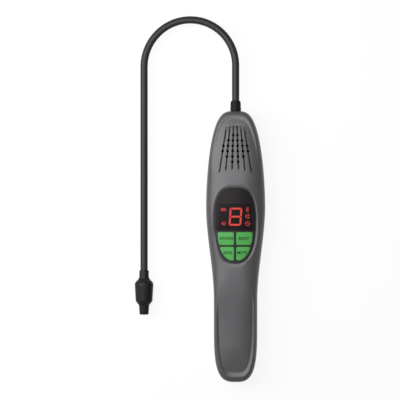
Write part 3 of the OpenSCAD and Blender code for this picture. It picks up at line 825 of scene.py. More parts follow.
class Finishes:
    """Finishes of the object, each made once."""

    HOUSING = MouldedPlastic("housing_grey", "housing_grey", (0.04, 0.0385, 0.0405), 0.43)
    PANEL = MouldedPlastic("panel_charcoal", "panel_charcoal", (0.018, 0.015, 0.018), 0.45,
                           grain_mm=0.25, depth_mm=0.008, specular=0.12)
    WINDOW = DisplayGloss("window_black", "window_black", (0.0105, 0.0085, 0.0098), (0.0075, 0.0055, 0.0064),
                          middle=(0.0, 26.6), half=(14.2, 11.3))
    KEY = MouldedPlastic("key_green", "key_green", (0.068, 0.295, 0.071), 0.5,
                         grain_mm=0.3, depth_mm=0.006, specular=0.1)
    LETTERS = MouldedPlastic("key_print", "panel_charcoal", (0.008, 0.014, 0.008), 0.6,
                             grain_mm=0.2, depth_mm=0.004, specular=0.05)
    GLOW = Glow("display_red", "display_module", (0.84, 0.075, 0.06), 0.86)
    FAINT_GLOW = Glow("display_faint_red", "display_module", (0.86, 0.085, 0.08), 0.55)
    BOOT = MouldedPlastic("boot_rubber", "boot_rubber", (0.006, 0.0055, 0.006), 0.5,
                          grain_mm=0.3, depth_mm=0.006, specular=0.08)
    SLEEVE = RibbedSleeve("sleeve_black", "sleeve_black", (0.008, 0.0075, 0.008), 0.45,
                          turn_mm=2.4, depth_mm=0.004)
    TIP = MouldedPlastic("tip_black", "tip_black", (0.006, 0.0055, 0.006), 0.42,
                         grain_mm=0.3, depth_mm=0.005, specular=0.15)
    SCREW = BareMetal("screw_steel", "screw_steel", (0.5, 0.5, 0.52), 0.32)
    SWITCH = BareMetal("switch_steel", "switch_steel", (0.6, 0.6, 0.6), 0.35)
    CONTACT = BareMetal("contact_nickel", "contact_nickel", (0.66, 0.64, 0.6), 0.25)
    CORE = BareMetal("core_steel", "core_steel", (0.5, 0.5, 0.52), 0.38)
    SENSOR = BareMetal("sensor_metal", "sensor_metal", (0.7, 0.6, 0.36), 0.3)
    PLUNGER = MouldedPlastic("plunger_black", "plunger_black", (0.015, 0.015, 0.015), 0.45)
    MODULE = MouldedPlastic("display_module", "display_module", (0.02, 0.018, 0.018), 0.5)
    BOARD = SolderMask("board_green", "board_green", (0.012, 0.09, 0.035), (0.05, 0.2, 0.06))
    PLUG = MouldedPlastic("connector_ivory", "connector_ivory", (0.72, 0.69, 0.6), 0.45)
    # sounder near black with almost no sheen: partly its own black plastic, partly painted shade, so the
    # grille holes above it read dark
    SOUNDER = MouldedPlastic("sounder_black", "sounder_black", (0.004, 0.004, 0.004), 0.7, specular=0.03)
    CELL = BandedJacket("cell_jacket", "cell_jacket", (0.02, 0.02, 0.022), (0.6, 0.34, 0.09),
                        middle_y=-60.0, bright_from=12.0)
    LEAD = MouldedPlastic("lead_jacket", "lead_jacket", (0.02, 0.004, 0.004), 0.6, specular=0.05)
    FELT = MouldedPlastic("filter_white", "filter_white", (0.75, 0.75, 0.73), 0.9,
                          grain_mm=0.5, depth_mm=0.15)

    _made: dict[str, bpy.types.Material] = {}

    @classmethod
    def dress(cls, obj: Piece, finish: Finish) -> None:
        """Give an object a finish as its only material.

        Args:
            obj: Object to work on.
            finish: Look to give it.
        """
        if finish.name not in cls._made:
            cls._made[finish.name] = finish.material()
        obj.data.materials.clear()
        obj.data.materials.append(cls._made[finish.name])


def hand_over(obj: Piece, finish: Finish, body: Body, *nodes: str) -> Piece:
    """Dress a finished piece and put it on its body.

    Args:
        obj: Finished piece.
        finish: Its finish.
        body: Body that it rides on.
        nodes: Frame nodes that it stands for.

    Returns:
        The piece.
    """
    Finishes.dress(obj, finish)
    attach(obj, body.value)
    if nodes:
        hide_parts(*nodes)
    LOG.info("%s: %d faces, on %s", obj.name, len(obj.data.polygons), body.value)
    return obj


def ease(share: float) -> float:
    """Smooth step from 0 to 1."""
    held = max(0.0, min(1.0, share))
    return held * held * (3 - 2 * held)


def fall(share: float, bend: float, root: float) -> float:
    """Superelliptic end that falls from 1 to 0."""
    return max(0.0, 1 - max(0.0, share) ** bend) ** (1 / root)


def upright(x: float, y: float, sides: int) -> Turning:
    """Rings about an upright line through a point."""
    return Turning(lambda u, v, w: (x + u, y + v, w), sides)


@dataclass(frozen=True)
class HousingForm:
    """Form of the housing in millimetres: the outline of the solids, with a finer face."""

    # outline: ends, stations and widths
    top_y: float = 120.0
    bottom_y: float = -120.0
    head_y: float = 36.0
    waist_y: float = -48.0
    grip_y: float = -60.0
    head_w: float = 52.45
    grip_w: float = 38.4
    # heights and wall
    head_t: float = 35.58
    grip_t: float = 32.0
    parting_z: float = 17.0
    wall: float = 2.2
    # rim round the face, with what it gains at its upper and lower end
    rim_w: float = 2.6
    rim_slope: float = 1.7
    rim_top_extra: float = 0.6
    slope_top_extra: float = 2.6
    rim_low_extra: float = 2.1
    slope_low_extra: float = 2.5
    rim_corner: float = 0.6
    # sunk face, which swells towards its middle
    tray_d: float = 2.2
    tray_top: float = 0.65
    tray_fade: float = 40.0
    rise_from: float = -95.0
    rise_to: float = -8.0
    face_swell: float = 0.8
    swell_from: float = 8.0
    swell_len: float = 26.0
    # pieces that the face and the floor make room for
    panel_top_y: float = 51.8
    panel_low_y: float = -14.8
    front_draw: float = 0.16
    back_draw: float = 0.56
    door_top: float = -29.4
    floor_z: float = 4.4
    # powers and lengths of the curves
    head_bend: Point = (1.7, 3.5)
    grip_bend: Point = (4.4, 3.0)
    front_ends: Point = (60.0, 45.0)
    front_bend: float = 5.0
    back_ends: Point = (45.0, 45.0)
    back_bend: float = 3.0
    back_section: float = 4.0
    back_extra: float = 2.0
    middle_section: float = 3.0
    end_section: float = 1.5
    tray_starts: Point = (7.0, 14.0)
    swell_across: float = 0.8
    door_land: float = 4.0
    rim_top_power: float = 1.3
    rim_low_power: float = 0.6
    # fineness
    sliver: float = 0.01
    angle_step: float = 0.009
    on_axis: float = 1e-9
    count: int = 240

    def half_width(self, y: float) -> float:
        """Half width of the outline.

        Args:
            y: Station along the housing.

        Returns:
            The half width.
        """
        if y >= self.head_y:
            return self.head_w / 2 * fall((y - self.head_y) / (self.top_y - self.head_y), *self.head_bend)
        if y >= self.grip_y:
            swell = ease((y - self.waist_y) / (self.head_y - self.waist_y))
            return self.grip_w / 2 + (self.head_w - self.grip_w) / 2 * swell
        return self.grip_w / 2 * fall((self.grip_y - y) / (self.grip_y - self.bottom_y), *self.grip_bend)

    def across(self, x: float, y: float) -> float:
        """Share of the half width that a point is away from the middle line."""
        return abs(x) / max(self.half_width(y), self.sliver)

    def end_round(self, y: float, ends: Point, bend: float) -> float:
        """Rounding of a face towards both ends.

        Args:
            y: Station along the housing.
            ends: Length of the rounding at the upper and the lower end.
            bend: Power of its curve.

        Returns:
            The share of the height that is left.
        """
        upper, lower = ends
        top = fall((y - self.top_y + upper) / upper, bend, bend)
        return top * fall((self.bottom_y + lower - y) / lower, bend, bend)

    def front_rise(self, y: float) -> float:
        """Height of the front above the parting line, along the middle.

        Args:
            y: Station along the housing.

        Returns:
            The height.
        """
        swell = ease((y - self.rise_from) / (self.rise_to - self.rise_from))
        crest = self.grip_t + (self.head_t - self.grip_t) * swell
        return (crest - self.parting_z) * self.end_round(y, self.front_ends, self.front_bend)

    def section_power(self, y: float) -> float:
        """Sharpness of the front's section, boxy at both ends.

        Args:
            y: Station along the housing.

        Returns:
            The power of the section's curve.
        """
        upper = ease((y - self.panel_top_y) / self.tray_fade)
        lower = ease((self.panel_low_y - y) / self.tray_fade)
        return self.middle_section + self.end_section * max(upper, lower)

    def tray(self, y: float) -> float:
        """Depth of the sunk face below the rim.

        Args:
            y: Station along the housing.

        Returns:
            The depth.
        """
        above, below = self.tray_starts
        upper = self.tray_top * ease((y - self.panel_top_y - above) / self.tray_fade)
        lower = ease((self.panel_low_y - below - y) / self.tray_fade)
        return self.tray_d * max(upper, lower)

    def sunk(self, x: float, y: float) -> float:
        """Share of the depth at a place of the face, which swells towards its middle line.

        Args:
            x: Distance from the middle line.
            y: Station along the housing.

        Returns:
            The share.
        """
        inner = max(0.0, 1 - (self.across(x, y) / self.swell_across) ** 2)
        upper = ease((self.top_y - self.swell_from - y) / self.swell_len)
        lower = ease((y - self.bottom_y - self.swell_from) / self.swell_len)
        return 1 - self.face_swell * inner * upper * lower

    def front_z(self, x: float, y: float) -> float:
        """Height of the front, before the face is sunk."""
        power = self.section_power(y)
        return self.parting_z + self.front_rise(y) * fall(self.across(x, y), power, power)

    def face_z(self, x: float, y: float) -> float:
        """Height of the sunk face."""
        return self.front_z(x, y) - self.tray(y) * self.sunk(x, y)

    def outer_y(self, y: float) -> float:
        """Station on the outer form that a point of the inner form lies under."""
        return y * self.top_y / (self.top_y - self.wall)

    def ceiling_z(self, x: float, y: float) -> float:
        """Ceiling inside the front shell.

        Args:
            x: Distance from the middle line.
            y: Station along the housing.

        Returns:
            The height.
        """
        power = self.section_power(y)
        rise = max(0.0, self.front_rise(self.outer_y(y)) - self.wall - self.tray(y))
        return self.parting_z + rise * fall(abs(x) / self._inner_half(y), power, power)

    def back_z(self, x: float, y: float) -> float:
        """Back of the housing, with its flat land."""
        section = fall(self.across(x, y), self.back_section, self.back_section)
        return max(0.0, self.parting_z - self._back_drop(y) * section)

    def _back_drop(self, y: float) -> float:
        """Depth of the back below the parting line, before its land cuts it off."""
        return (self.parting_z + self.back_extra) * self.end_round(y, self.back_ends, self.back_bend)

    def floor_in(self, x: float, y: float) -> float:
        """Floor inside the rear shell, thicker where the battery door is let in.

        Args:
            x: Distance from the middle line.
            y: Station along the housing.

        Returns:
            The height.
        """
        floor = self.floor_z if y < self.door_top + self.door_land else self.wall
        drop = max(0.0, self._back_drop(self.outer_y(y)) - self.wall)
        section = fall(abs(x) / self._inner_half(y), self.back_section, self.back_section)
        return max(floor, self.parting_z - drop * section)

    def _inner_half(self, y: float) -> float:
        """Half width of the cavity at a station."""
        return max(self.half_width(self.outer_y(y)) - self.wall, self.sliver)

    def edge_point(self, angle: float) -> Point:
        """Point of the outline at an angle from the top end.

        Args:
            angle: Angle of the point from the top end.

        Returns:
            The point.
        """
        y = self.top_y * math.cos(angle)
        across = math.sin(angle)
        side = math.copysign(1.0, across) if abs(across) > self.on_axis else 0.0
        return (side * self.half_width(y), y)

    def angles(self) -> list[float]:
        """Angles of the outline's points."""
        return [2 * math.pi * i / self.count for i in range(self.count)]

    def _outward(self, angle: float) -> Vector:
        """Direction out of the outline at an angle from the top end.

        Args:
            angle: Angle of the point from the top end.

        Returns:
            The direction, one unit long.
        """
        ahead, behind = (self.edge_point(angle + way * self.angle_step) for way in (1, -1))
        run = Vector(ahead) - Vector(behind)
        return Vector((-run.y, run.x)).normalized()

    def inset(self, distance: float) -> list[Point]:
        """Outline moved inwards by a distance."""
        return [tuple(Vector(self.edge_point(a)) - self._outward(a) * distance) for a in self.angles()]

    def rim(self, distance: float, crest: float, slope: float) -> list[Point]:
        """Outline moved inwards over the rim, which is wider at both ends.

        Args:
            distance: Distance along the sides, up to the slope.
            crest: Share of the rim's extra width at the ends.
            slope: Share of the way down the slope.

        Returns:
            The moved outline.
        """
        ring = []
        for angle in self.angles():
            spot, out = Vector(self.edge_point(angle)), self._outward(angle)
            depth = distance + slope * self.rim_slope
            if out.y > 0:
                extra = self.rim_top_extra * crest + self.slope_top_extra * slope
                depth += extra * (out.y**self.rim_top_power + self.rim_corner * out.y * abs(out.x))
            else:
                extra = self.rim_low_extra * crest + self.slope_low_extra * slope
                depth += extra * abs(out.y) ** self.rim_low_power
            ring.append(tuple(spot - out * depth))
        return ring

    def wall_ring(self) -> list[Point]:
        """Outline of the cavity.

        Returns:
            The outline.
        """
        ring = []
        for angle in self.angles():
            x, y = self.edge_point(angle)
            inner_x = math.copysign(max(0.0, abs(x) - self.wall), x)
            ring.append((inner_x, y * (1 - self.wall / self.top_y)))
        return ring

    @staticmethod
    def drawn(ring: list[Point], scale: float, draw: float) -> list[Point]:
        """Ring drawn towards the middle line."""
        return [(x * scale, y * (1 - draw * (1 - scale))) for x, y in ring]

    @staticmethod
    def lift(ring: list[Point], height: Height) -> Ring:
        """Ring laid on a surface."""
        return [(x, y, height(x, y)) for x, y in ring]


@dataclass
class Shells:
    """Front and rear shell with what is cut into them."""

    form: HousingForm = field(default_factory=HousingForm)
    lip: float = 0.25
    shoulder: tuple[Point, ...] = (
        (0.05, 0), (0.15, 0), (0.3, 0), (0.52, 0), (0.8, 0), (1.15, 0), (1.55, 0), (1.95, 0),
        (2.2, 0.15), (2.4, 0.45), (2.52, 0.75),
    )
    slope_steps: int = 6
    slope_round: float = 0.3
    face_scales: tuple[float, ...] = (0.93, 0.84, 0.72, 0.58, 0.43, 0.28, 0.14, 0.0)
    ceiling_scales: tuple[float, ...] = (SPINE, 0.3, 0.6, 0.86, 0.96)
    floor_scales: tuple[float, ...] = (SPINE, 0.4, 0.774, 0.84, 0.9, 0.95, 0.985)
    back_scales: tuple[float, ...] = (0.997, 0.985, 0.965, 0.935, 0.9, 0.86, 0.815, 0.774, 0.6, 0.3, 0.0)
    crease_deg: float = 30.0
    hole_d: float = 2.5
    hole_pitch: float = 4.7
    hole_reach: Point = (-6.0, 3.0)
    hole_sides: int = 24
    groove_count: int = 6
    groove_tops: Place = (3.18, 105.5, 0.21)  # pitch, station and sag of the upper ends
    groove_lows: Place = (5.6, 68.0, 0.42)  # the same of the lower ends
    groove_w: float = 1.35
    groove_d: Point = (0.3, 1.5)
    groove_end: tuple[Point, ...] = ((0.1, -2.0), (1.0, -0.6), (1.0, 2.0))
    groove_rise: float = 2.0
    groove_steps: int = 14
    sounder_y: float = 86.5
    boot_neck_d: float = 8.4
    boot_reach: Point = (-8.0, 5.0)
    boot_sides: int = 48

    def front(self, panel: "Panel") -> Piece:
        """Build the front shell.

        Args:
            panel: Panel that sits in its recess.

        Returns:
            The shell.
        """
        form = self.form
        outer = [form.lift(form.rim(d, share, 0.0), form.front_z) for d, share in self.shoulder]
        outer += [self._slope_ring(step / self.slope_steps) for step in range(self.slope_steps + 1)]
        face = form.rim(form.rim_w, 1.0, 1.0)
        outer += self._drawn(face, self.face_scales, form.front_draw, form.face_z)
        inner = self._drawn(form.wall_ring(), self.ceiling_scales, form.front_draw, form.ceiling_z)
        shell = self._skin("front_shell_skin", inner, 1, outer)
        Bench.combine(shell, Cut.ADD, panel.recess_wall())
        tools = (panel.recess(form), self._grooves(), self._holes(), self._boot_hole())
        Bench.combine(shell, Cut.REMOVE, *tools)
        return Bench.smooth(shell, self.crease_deg)

    def rear(self, door: "Door", screws: "Screws") -> Piece:
        """Build the rear shell.

        Args:
            door: Battery door that it is cut out for.
            screws: Screws that it is drilled for.

        Returns:
            The shell.
        """
        form = self.form
        inner = self._drawn(form.wall_ring(), self.floor_scales, form.back_draw, form.floor_in)
        shell = self._skin("rear_shell_skin", inner, -1, self.back_rings())
        Bench.combine(shell, Cut.ADD, *screws.bosses(form), *door.bay_walls())
        Bench.combine(shell, Cut.REMOVE, screws.drills(form), *door.seat_tools(), self._boot_hole())
        return Bench.smooth(shell, self.crease_deg)

    def back_rings(self) -> list[Ring]:
        """Rings of the outside of the back, from the parting line to the middle."""
        form = self.form
        return self._drawn(form.inset(0.0), self.back_scales, form.back_draw, form.back_z)

    def _drawn(self, ring: list[Point], scales: Sequence[float], draw: float, height: Height) -> list[Ring]:
        """Copies of a ring that close in on the middle line, laid on a surface.

        Args:
            ring: Ring to start from.
            scales: Share of its width that each copy keeps.
            draw: Share of the narrowing that its length takes part in.
            height: Surface that the copies lie on.

        Returns:
            The copies, in the order of the scales.
        """
        return [self.form.lift(self.form.drawn(ring, scale, draw), height) for scale in scales]

    def _skin(self, name: str, inner: list[Ring], way: int, outer: list[Ring]) -> Piece:
        """Loft a shell from its cavity over the parting line to its outside.

        Args:
            name: Name of the object.
            inner: Rings of the cavity, from the middle.
            way: 1 for the front, which rises from the parting line, and -1 for the rear.
            outer: Rings of the outside, to the middle.

        Returns:
            The closed shell.
        """
        form = self.form
        steps = ((form.wall_ring(), 0.0), (form.inset(self.lip), 0.0), (form.inset(0.0), self.lip))
        edge = [[(x, y, form.parting_z + way * rise) for x, y in ring] for ring, rise in steps]
        loft = RingLoft(name, inner[0], filled=False)
        return loft.extrude(*inner[1:], *edge, *outer).merged()

    def _slope_ring(self, share: float) -> Ring:
        """Ring on the slope from the rim down to the face.

        Args:
            share: Share of the way down.

        Returns:
            The ring.
        """
        form = self.form
        ring = form.rim(form.rim_w, 1.0, share)
        way = self.slope_round * ease(share) + (1 - self.slope_round) * share
        return [(x, y, form.front_z(x, y) - form.tray(y) * form.sunk(x, y) * way) for x, y in ring]

    def _fan(self) -> list[tuple[float, Point, Point]]:
        """Column number, upper and lower end of each grille groove.

        Returns:
            The number and the two ends, groove by groove.
        """

        def end(number: float, row: Place) -> Point:
            """End of a groove, in the sagging row of such ends."""
            pitch, station, sag = row
            return (number * pitch, station - sag * number * number)

        numbers = [i - (self.groove_count - 1) / 2 for i in range(self.groove_count)]
        return [(k, end(k, self.groove_tops), end(k, self.groove_lows)) for k in numbers]

    def _grooves(self) -> Piece:
        """Tool that cuts the slanting grille grooves with their round upper ends.

        Returns:
            The joined tool.
        """
        shallow, deep = self.groove_d
        section = ((-1, -shallow), (1, -deep), (1, self.groove_rise), (-1, self.groove_rise))
        tools = []
        for _, top, low in self._fan():
            run = Vector(low) - Vector(top)
            rings = []
            for i in range(self.groove_steps + 1):
                spot = Vector(top) + run * (i / self.groove_steps)
                rings.append([self._on_face(spot, run.normalized(), side, up) for side, up in section])
            tools.append(RingLoft("groove_tool", rings[0]).extrude(*rings[1:]).closed())
            z = self.form.face_z(*top)
            cone = [(radius, z + rise) for radius, rise in self.groove_end]
            tools.append(upright(*top, self.hole_sides).turn("groove_end_tool", cone))
        return Bench.join("groove_tools", tools)

    def _on_face(self, spot: Vector, ahead: Vector, side: int, up: float) -> Place:
        """Place above or below the face, on one side of a groove.

        Args:
            spot: Spot on the groove's middle line.
            ahead: Direction of the groove.
            side: Side of the groove, -1 or 1.
            up: Height above the face.

        Returns:
            The place.
        """
        x = spot.x - ahead.y * side * self.groove_w / 2
        y = spot.y + ahead.x * side * self.groove_w / 2
        return (x, y, self.form.face_z(x, y) + up)

    def _holes(self) -> Piece:
        """Tool that drills the grille holes, which make a diamond over the fan.

        Returns:
            The joined tool.
        """
        tools = []
        for k, top, low in self._fan():
            count = round(self.groove_count + 1 - 2 * abs(k))
            for j in range(count):
                y = self.sounder_y + (j - (count - 1) / 2) * self.hole_pitch
                x = low[0] + (top[0] - low[0]) * (y - low[1]) / (top[1] - low[1])
                z = self.form.face_z(x, y)
                profile = [(self.hole_d / 2, z + rise) for rise in self.hole_reach]
                tools.append(upright(x, y, self.hole_sides).turn("drill", profile))
        return Bench.join("drill_tools", tools)

    def _boot_hole(self) -> Piece:
        """Tool that cuts the round hole for the strain relief.

        Returns:
            The tool.
        """
        form = self.form
        turning = Turning(lambda u, v, w: (u, form.top_y + w, form.parting_z + v), self.boot_sides)
        return turning.turn("boot_tool", [(self.boot_neck_d / 2, along) for along in self.boot_reach])


def arc(middle: Point, radius: float, start_deg: float, end_deg: float, steps: int = 5) -> list[Point]:
    """Points of an arc.

    Args:
        middle: Centre of the arc.
        radius: Its radius.
        start_deg: Angle of its first point.
        end_deg: Angle of its last point.
        steps: Stretches between its points.

    Returns:
        The points in order.
    """
    turns = [math.radians(start_deg + (end_deg - start_deg) * i / steps) for i in range(steps + 1)]
    return [(middle[0] + radius * math.cos(t), middle[1] + radius * math.sin(t)) for t in turns]


@dataclass
class Panel:
    """Oval insert with its window, and the recess that it sits in."""

    width: float = 35.4
    length: float = 66.2
    upper_power: float = 3.0
    lower_power: float = 2.35
    middle_y: float = 18.7
    gap: float = 0.35
    flare: float = 1.8
    side_drop: float = 1.1
    end_drop: float = 0.15
    mouth: tuple[Point, ...] = ((0.0, 0.02), (0.4, 0.3), (0.4, 9.0))
    ledge: float = 0.9
    recess_d: float = 8.0
    wall_w: float = 1.8
    wall_rise: Point = (-1.5, -0.6)
    crown_r: float = 66.0
    top_z: float = 35.0
    skirt_z: float = 29.88
    plate_t: float = 2.2
    window_t: float = 1.2
    window_border: float = 0.45
    window_low: float = 14.9
    window_bend: float = 1.1
    window_gap: float = 0.1
    window_bed: float = 0.05
    window_edge: float = 0.18
    bezel_edge: float = 0.22
    edge_steps: int = 3
    bend_above: float = 0.3
    crease_deg: float = 40.0
    display_half: Point = (14.3, 11.3)
    display_y: float = 27.2
    strip_mm: float = 1.2
    count: int = 144

    def egg(self, grow: float) -> list[Point]:
        """Outline of the panel moved outwards by a distance."""
        return [self._egg_point(2 * math.pi * i / self.count, grow) for i in range(self.count)]

    def _egg_point(self, angle: float, grow: float) -> Point:
        """Point of the egg, fuller at its upper end.

        Args:
            angle: Angle of the point from the right.
            grow: Distance to move the outline outwards.

        Returns:
            The point.
        """
        across, along = math.cos(angle), math.sin(angle)
        bend = 2 / (self.upper_power if along > 0 else self.lower_power)
        x = (self.width / 2 + grow) * math.copysign(abs(across) ** bend, across)
        return (x, self.middle_y + (self.length / 2 + grow) * math.copysign(abs(along) ** bend, along))

    def upper_egg(self, grow: float, low_y: float) -> list[Point]:
        """Part of the egg above a line.

        Args:
            grow: Distance to move the outline outwards.
            low_y: Station of the line.

        Returns:
            The points, from right to left.
        """
        share = (self.middle_y - low_y) / (self.length / 2 + grow)
        start = -math.asin(share**self.window_bend)
        steps = self.count // 2
        angles = [start + (math.pi - 2 * start) * i / steps for i in range(steps + 1)]
        return [self._egg_point(angle, grow) for angle in angles]

    def drop(self, x: float) -> float:
        """Fall of the crown at a distance from the middle."""
        return self.crown_r - math.sqrt(self.crown_r**2 - x * x)

    def bend(self, obj: Piece, from_z: float) -> Piece:
        """Bend what lies above a height over the crown and return the object."""
        return Bench.shape(obj, lambda p: (p.x, p.y, p.z - self.drop(p.x) if p.z > from_z else p.z))

    def crowned(self, plate: Plate, from_z: float) -> Piece:
        """Bend a plate over the crown from a height upwards, and shade it."""
        self.bend(plate.strips(self.strip_mm).obj, from_z)
        return Bench.smooth(plate.obj, self.crease_deg)

    def wall_drop(self, y: float) -> float:
        """Fall of the recess's sloping wall below the crown, least at both ends."""
        share = abs(y - self.middle_y) / (self.length / 2 + self.gap)
        return self.side_drop + (self.end_drop - self.side_drop) * share**2

    def recess_wall(self) -> Piece:
        """Solid around the recess, under the front.

        Returns:
            The solid.
        """
        outline = self.egg(self.gap + self.wall_w)
        below, above = self.wall_rise
        low = [(x, y, self.skirt_z + below) for x, y in outline]
        high = [(x, y, self.top_z + above - self.drop(x)) for x, y in outline]
        return RingLoft("recess_wall", low).extrude(high).closed()

    def recess(self, form: HousingForm) -> Piece:
        """Tool that cuts the recess with its ledge and its sloping upper wall.

        Args:
            form: Form of the housing.

        Returns:
            The tool.
        """
        floor = self.skirt_z
        levels = ((-self.ledge, floor - self.recess_d), (-self.ledge, floor), (self.gap, floor))
        rings = [[(x, y, z) for x, y in self.egg(grow)] for grow, z in levels]
        edge = self.egg(self.gap)
        rings.append([(x, y, self.top_z - self.wall_drop(y) - self.drop(x)) for x, y in edge])
        for spare, rise in self.mouth:
            outline = self.egg(self.gap + self.flare + spare)
            rings.append([(x, y, form.front_z(x, y) + rise) for x, y in outline])
        return RingLoft("recess_tool", rings[0]).extrude(*rings[1:]).closed()

    def bezel(self, keys: "Keys") -> Piece:
        """Build the insert with its pockets for the window and the keys.

        Args:
            keys: Keys that need wells.

        Returns:
            The insert.
        """
        plate = Plate("panel_bezel_skin", self.egg(0.0), self.skirt_z, self.top_z)
        ceiling = self.top_z - self.plate_t
        hollow = Plate("hollow_tool", self.egg(-self.ledge), self.skirt_z - SPARE, ceiling)
        seat = self.upper_egg(self.window_gap - self.window_border, self.window_low - self.window_gap)
        bed = self.top_z - self.window_t - self.window_bed
        pocket = Plate("pocket_tool", seat, bed, self.top_z + SPARE)
        wide, tall = self.display_half
        opening = Bench.block("display_tool", (-wide, self.display_y - tall, self.skirt_z),
                              (wide, self.display_y + tall, self.top_z))
        Bench.combine(plate.obj, Cut.REMOVE, hollow.obj, pocket.obj, opening, *keys.wells())
        plate.soften(self.bezel_edge, self.edge_steps)
        return self.crowned(plate, self.skirt_z + self.bend_above)

    def window(self) -> Piece:
        """Build the gloss window.

        Returns:
            The window.
        """
        outline = self.upper_egg(-self.window_border, self.window_low)
        plate = Plate("display_window_skin", outline, self.top_z - self.window_t, self.top_z)
        return self.crowned(plate.soften(self.window_edge, self.edge_steps), 0.0)


@dataclass(frozen=True)
class KeyPlan:
    """One key: its body, its place and its printed word."""

    body: Body
    row: int
    side: int
    word: str
    word_middle: Point
    word_size: Point


@dataclass
class Keys:
    """Field of four keys under the window."""

    panel: Panel
    top_y: float = 13.0
    half_w: float = 15.45
    draw: float = 25.7
    upper_row: float = 11.5
    lower_row: float = 12.1
    split: float = 1.8
    row_split: float = 1.4
    gap: float = 0.25
    proud: float = 0.5
    flange_grow: float = 0.4
    flange_t: float = 1.1
    flange_z: float = 29.3
    corner: float = 1.5
    corner_turn: Point = (8.0, 345.0)
    corner_pull: float = 0.1
    point_pull: Point = (0.2, 0.3)
    side_steps: int = 16
    side_step: float = 0.05
    bend: float = 2.2
    well_h: float = 9.0
    edge_round: float = 0.6
    edge_steps: int = 5
    crown_t: float = 2.0
    print_t: float = 0.05
    print_rise: float = 0.4
    letter_space: float = 1.2
    letter_bold: float = 0.03
    letter_steps: int = 6
    plans: tuple[KeyPlan, ...] = (
        KeyPlan(Body.POWER, 0, -1, "OFF/ON", (-7.85, 7.4), (12.2, 2.6)),
        KeyPlan(Body.RESET, 0, 1, "RESET", (7.75, 7.4), (8.8, 2.6)),
        KeyPlan(Body.SENSITIVITY, 1, -1, "SENS", (-6.6, -5.15), (7.8, 2.6)),
        KeyPlan(Body.MUTE, 1, 1, "MUTE", (6.1, -5.05), (8.6, 2.6)),
    )

    def edge(self, y: float) -> float:
        """Outer edge of the key field."""
        return self.half_w * fall((self.top_y - y) / self.draw, self.bend, self.bend)

    def row_span(self, row: int) -> Point:
        """Lower and upper edge of a row, 0 for the upper one."""
        top = self.top_y - row * (self.upper_row + self.row_split)
        return (top - (self.lower_row if row else self.upper_row), top)

    def outline(self, row: int, side: int, grow: float) -> list[Point]:
        """Outline of a key with round corners, moved outwards by a distance.

        Args:
            row: Row of the key, 0 for the upper one.
            side: Side of the middle line, -1 or 1.
            grow: Distance to move the outline outwards.

        Returns:
            The points.
        """
        low, top = self.row_span(row)
        r = self.corner + grow
        inner = self.split / 2 - grow + r
        upper_turn, lower_turn = self.corner_turn
        points = arc((inner, low - grow + r), r, 180, 270)
        if row == 0:
            x = self.edge(low) + grow - r - self.corner_pull
            points += arc((x, low - grow + r), r, 270, lower_turn)
            start = low + self.corner
        else:
            pull, start = self.point_pull[0], low + self.point_pull[1]
            points.append((self.edge(low) - pull, low - grow))
        for i in range(self.side_steps + 1):
            y = start + (top - self.corner - start) * i / self.side_steps
            fall_off = self.edge(y + self.side_step) - self.edge(y - self.side_step)
            out = Vector((1.0, -fall_off / (2 * self.side_step))).normalized() * grow
            points.append((self.edge(y) + out.x, y + out.y))
        x = self.edge(top - self.corner) + grow - r
        points += arc((x, top + grow - r), r, upper_turn, 90)
        points += arc((inner, top + grow - r), r, 90, 180)
        return [(side * x, y) for x, y in points]

    def wells(self) -> list[Piece]:
        """Tools that cut the wells of the keys.

        Returns:
            The tools, one for each key.
        """
        low = self.panel.skirt_z - SPARE
        outlines = [self.outline(plan.row, plan.side, self.gap) for plan in self.plans]
        return [Plate("well_tool", outline, low, low + self.well_h).obj for outline in outlines]

    def cap(self, plan: KeyPlan) -> Piece:
        """Build one key with its flange.

        Args:
            plan: Plan of the key.

        Returns:
            The key.
        """
        outline = self.outline(plan.row, plan.side, 0.0)
        plate = Plate(f"{plan.body.value}_cap", outline, self.flange_z, self.panel.top_z + self.proud)
        plate.soften(self.edge_round, self.edge_steps)
        brim = self.outline(plan.row, plan.side, self.flange_grow)
        flange = Plate("flange", brim, self.flange_z, self.flange_z + self.flange_t)
        Bench.combine(plate.obj, Cut.ADD, flange.obj)
        return self.panel.crowned(plate, self.panel.top_z - self.crown_t)

    def word(self, plan: KeyPlan) -> Piece:
        """Build the printed word of one key.

        Args:
            plan: Plan of the key.

        Returns:
            The word.
        """
        Bench.clear()
        bpy.ops.object.text_add()
        text = bpy.context.object
        text.data.body = plan.word
        text.data.space_character = self.letter_space
        text.data.offset = self.letter_bold
        text.data.resolution_u = self.letter_steps
        text.data.extrude = 0.5
        bpy.ops.object.convert(target="MESH")
        word = Bench.rename(bpy.context.object, f"{plan.body.value}_word")
        xs = [vertex.co.x for vertex in word.data.vertices]
        ys = [vertex.co.y for vertex in word.data.vertices]
        middle = ((min(xs) + max(xs)) / 2, (min(ys) + max(ys)) / 2)
        scale = (plan.word_size[0] / (max(xs) - min(xs)), plan.word_size[1] / (max(ys) - min(ys)))

        def print_place(p: Vector) -> Place:
            """Place of a point of the word on the key.

            Args:
                p: Point of the flat word.

            Returns:
                The place.
            """
            x = plan.word_middle[0] + (p.x * MM - middle[0]) * scale[0]
            y = plan.word_middle[1] + (p.y * MM - middle[1]) * scale[1]
            rest = self.panel.top_z + self.proud - self.panel.drop(x)
            return (x, y, rest + self.print_t * (self.print_rise + p.z * MM))

        Bench.shape(word, print_place)
        return Bench.tidy(word, FINE_MERGE)


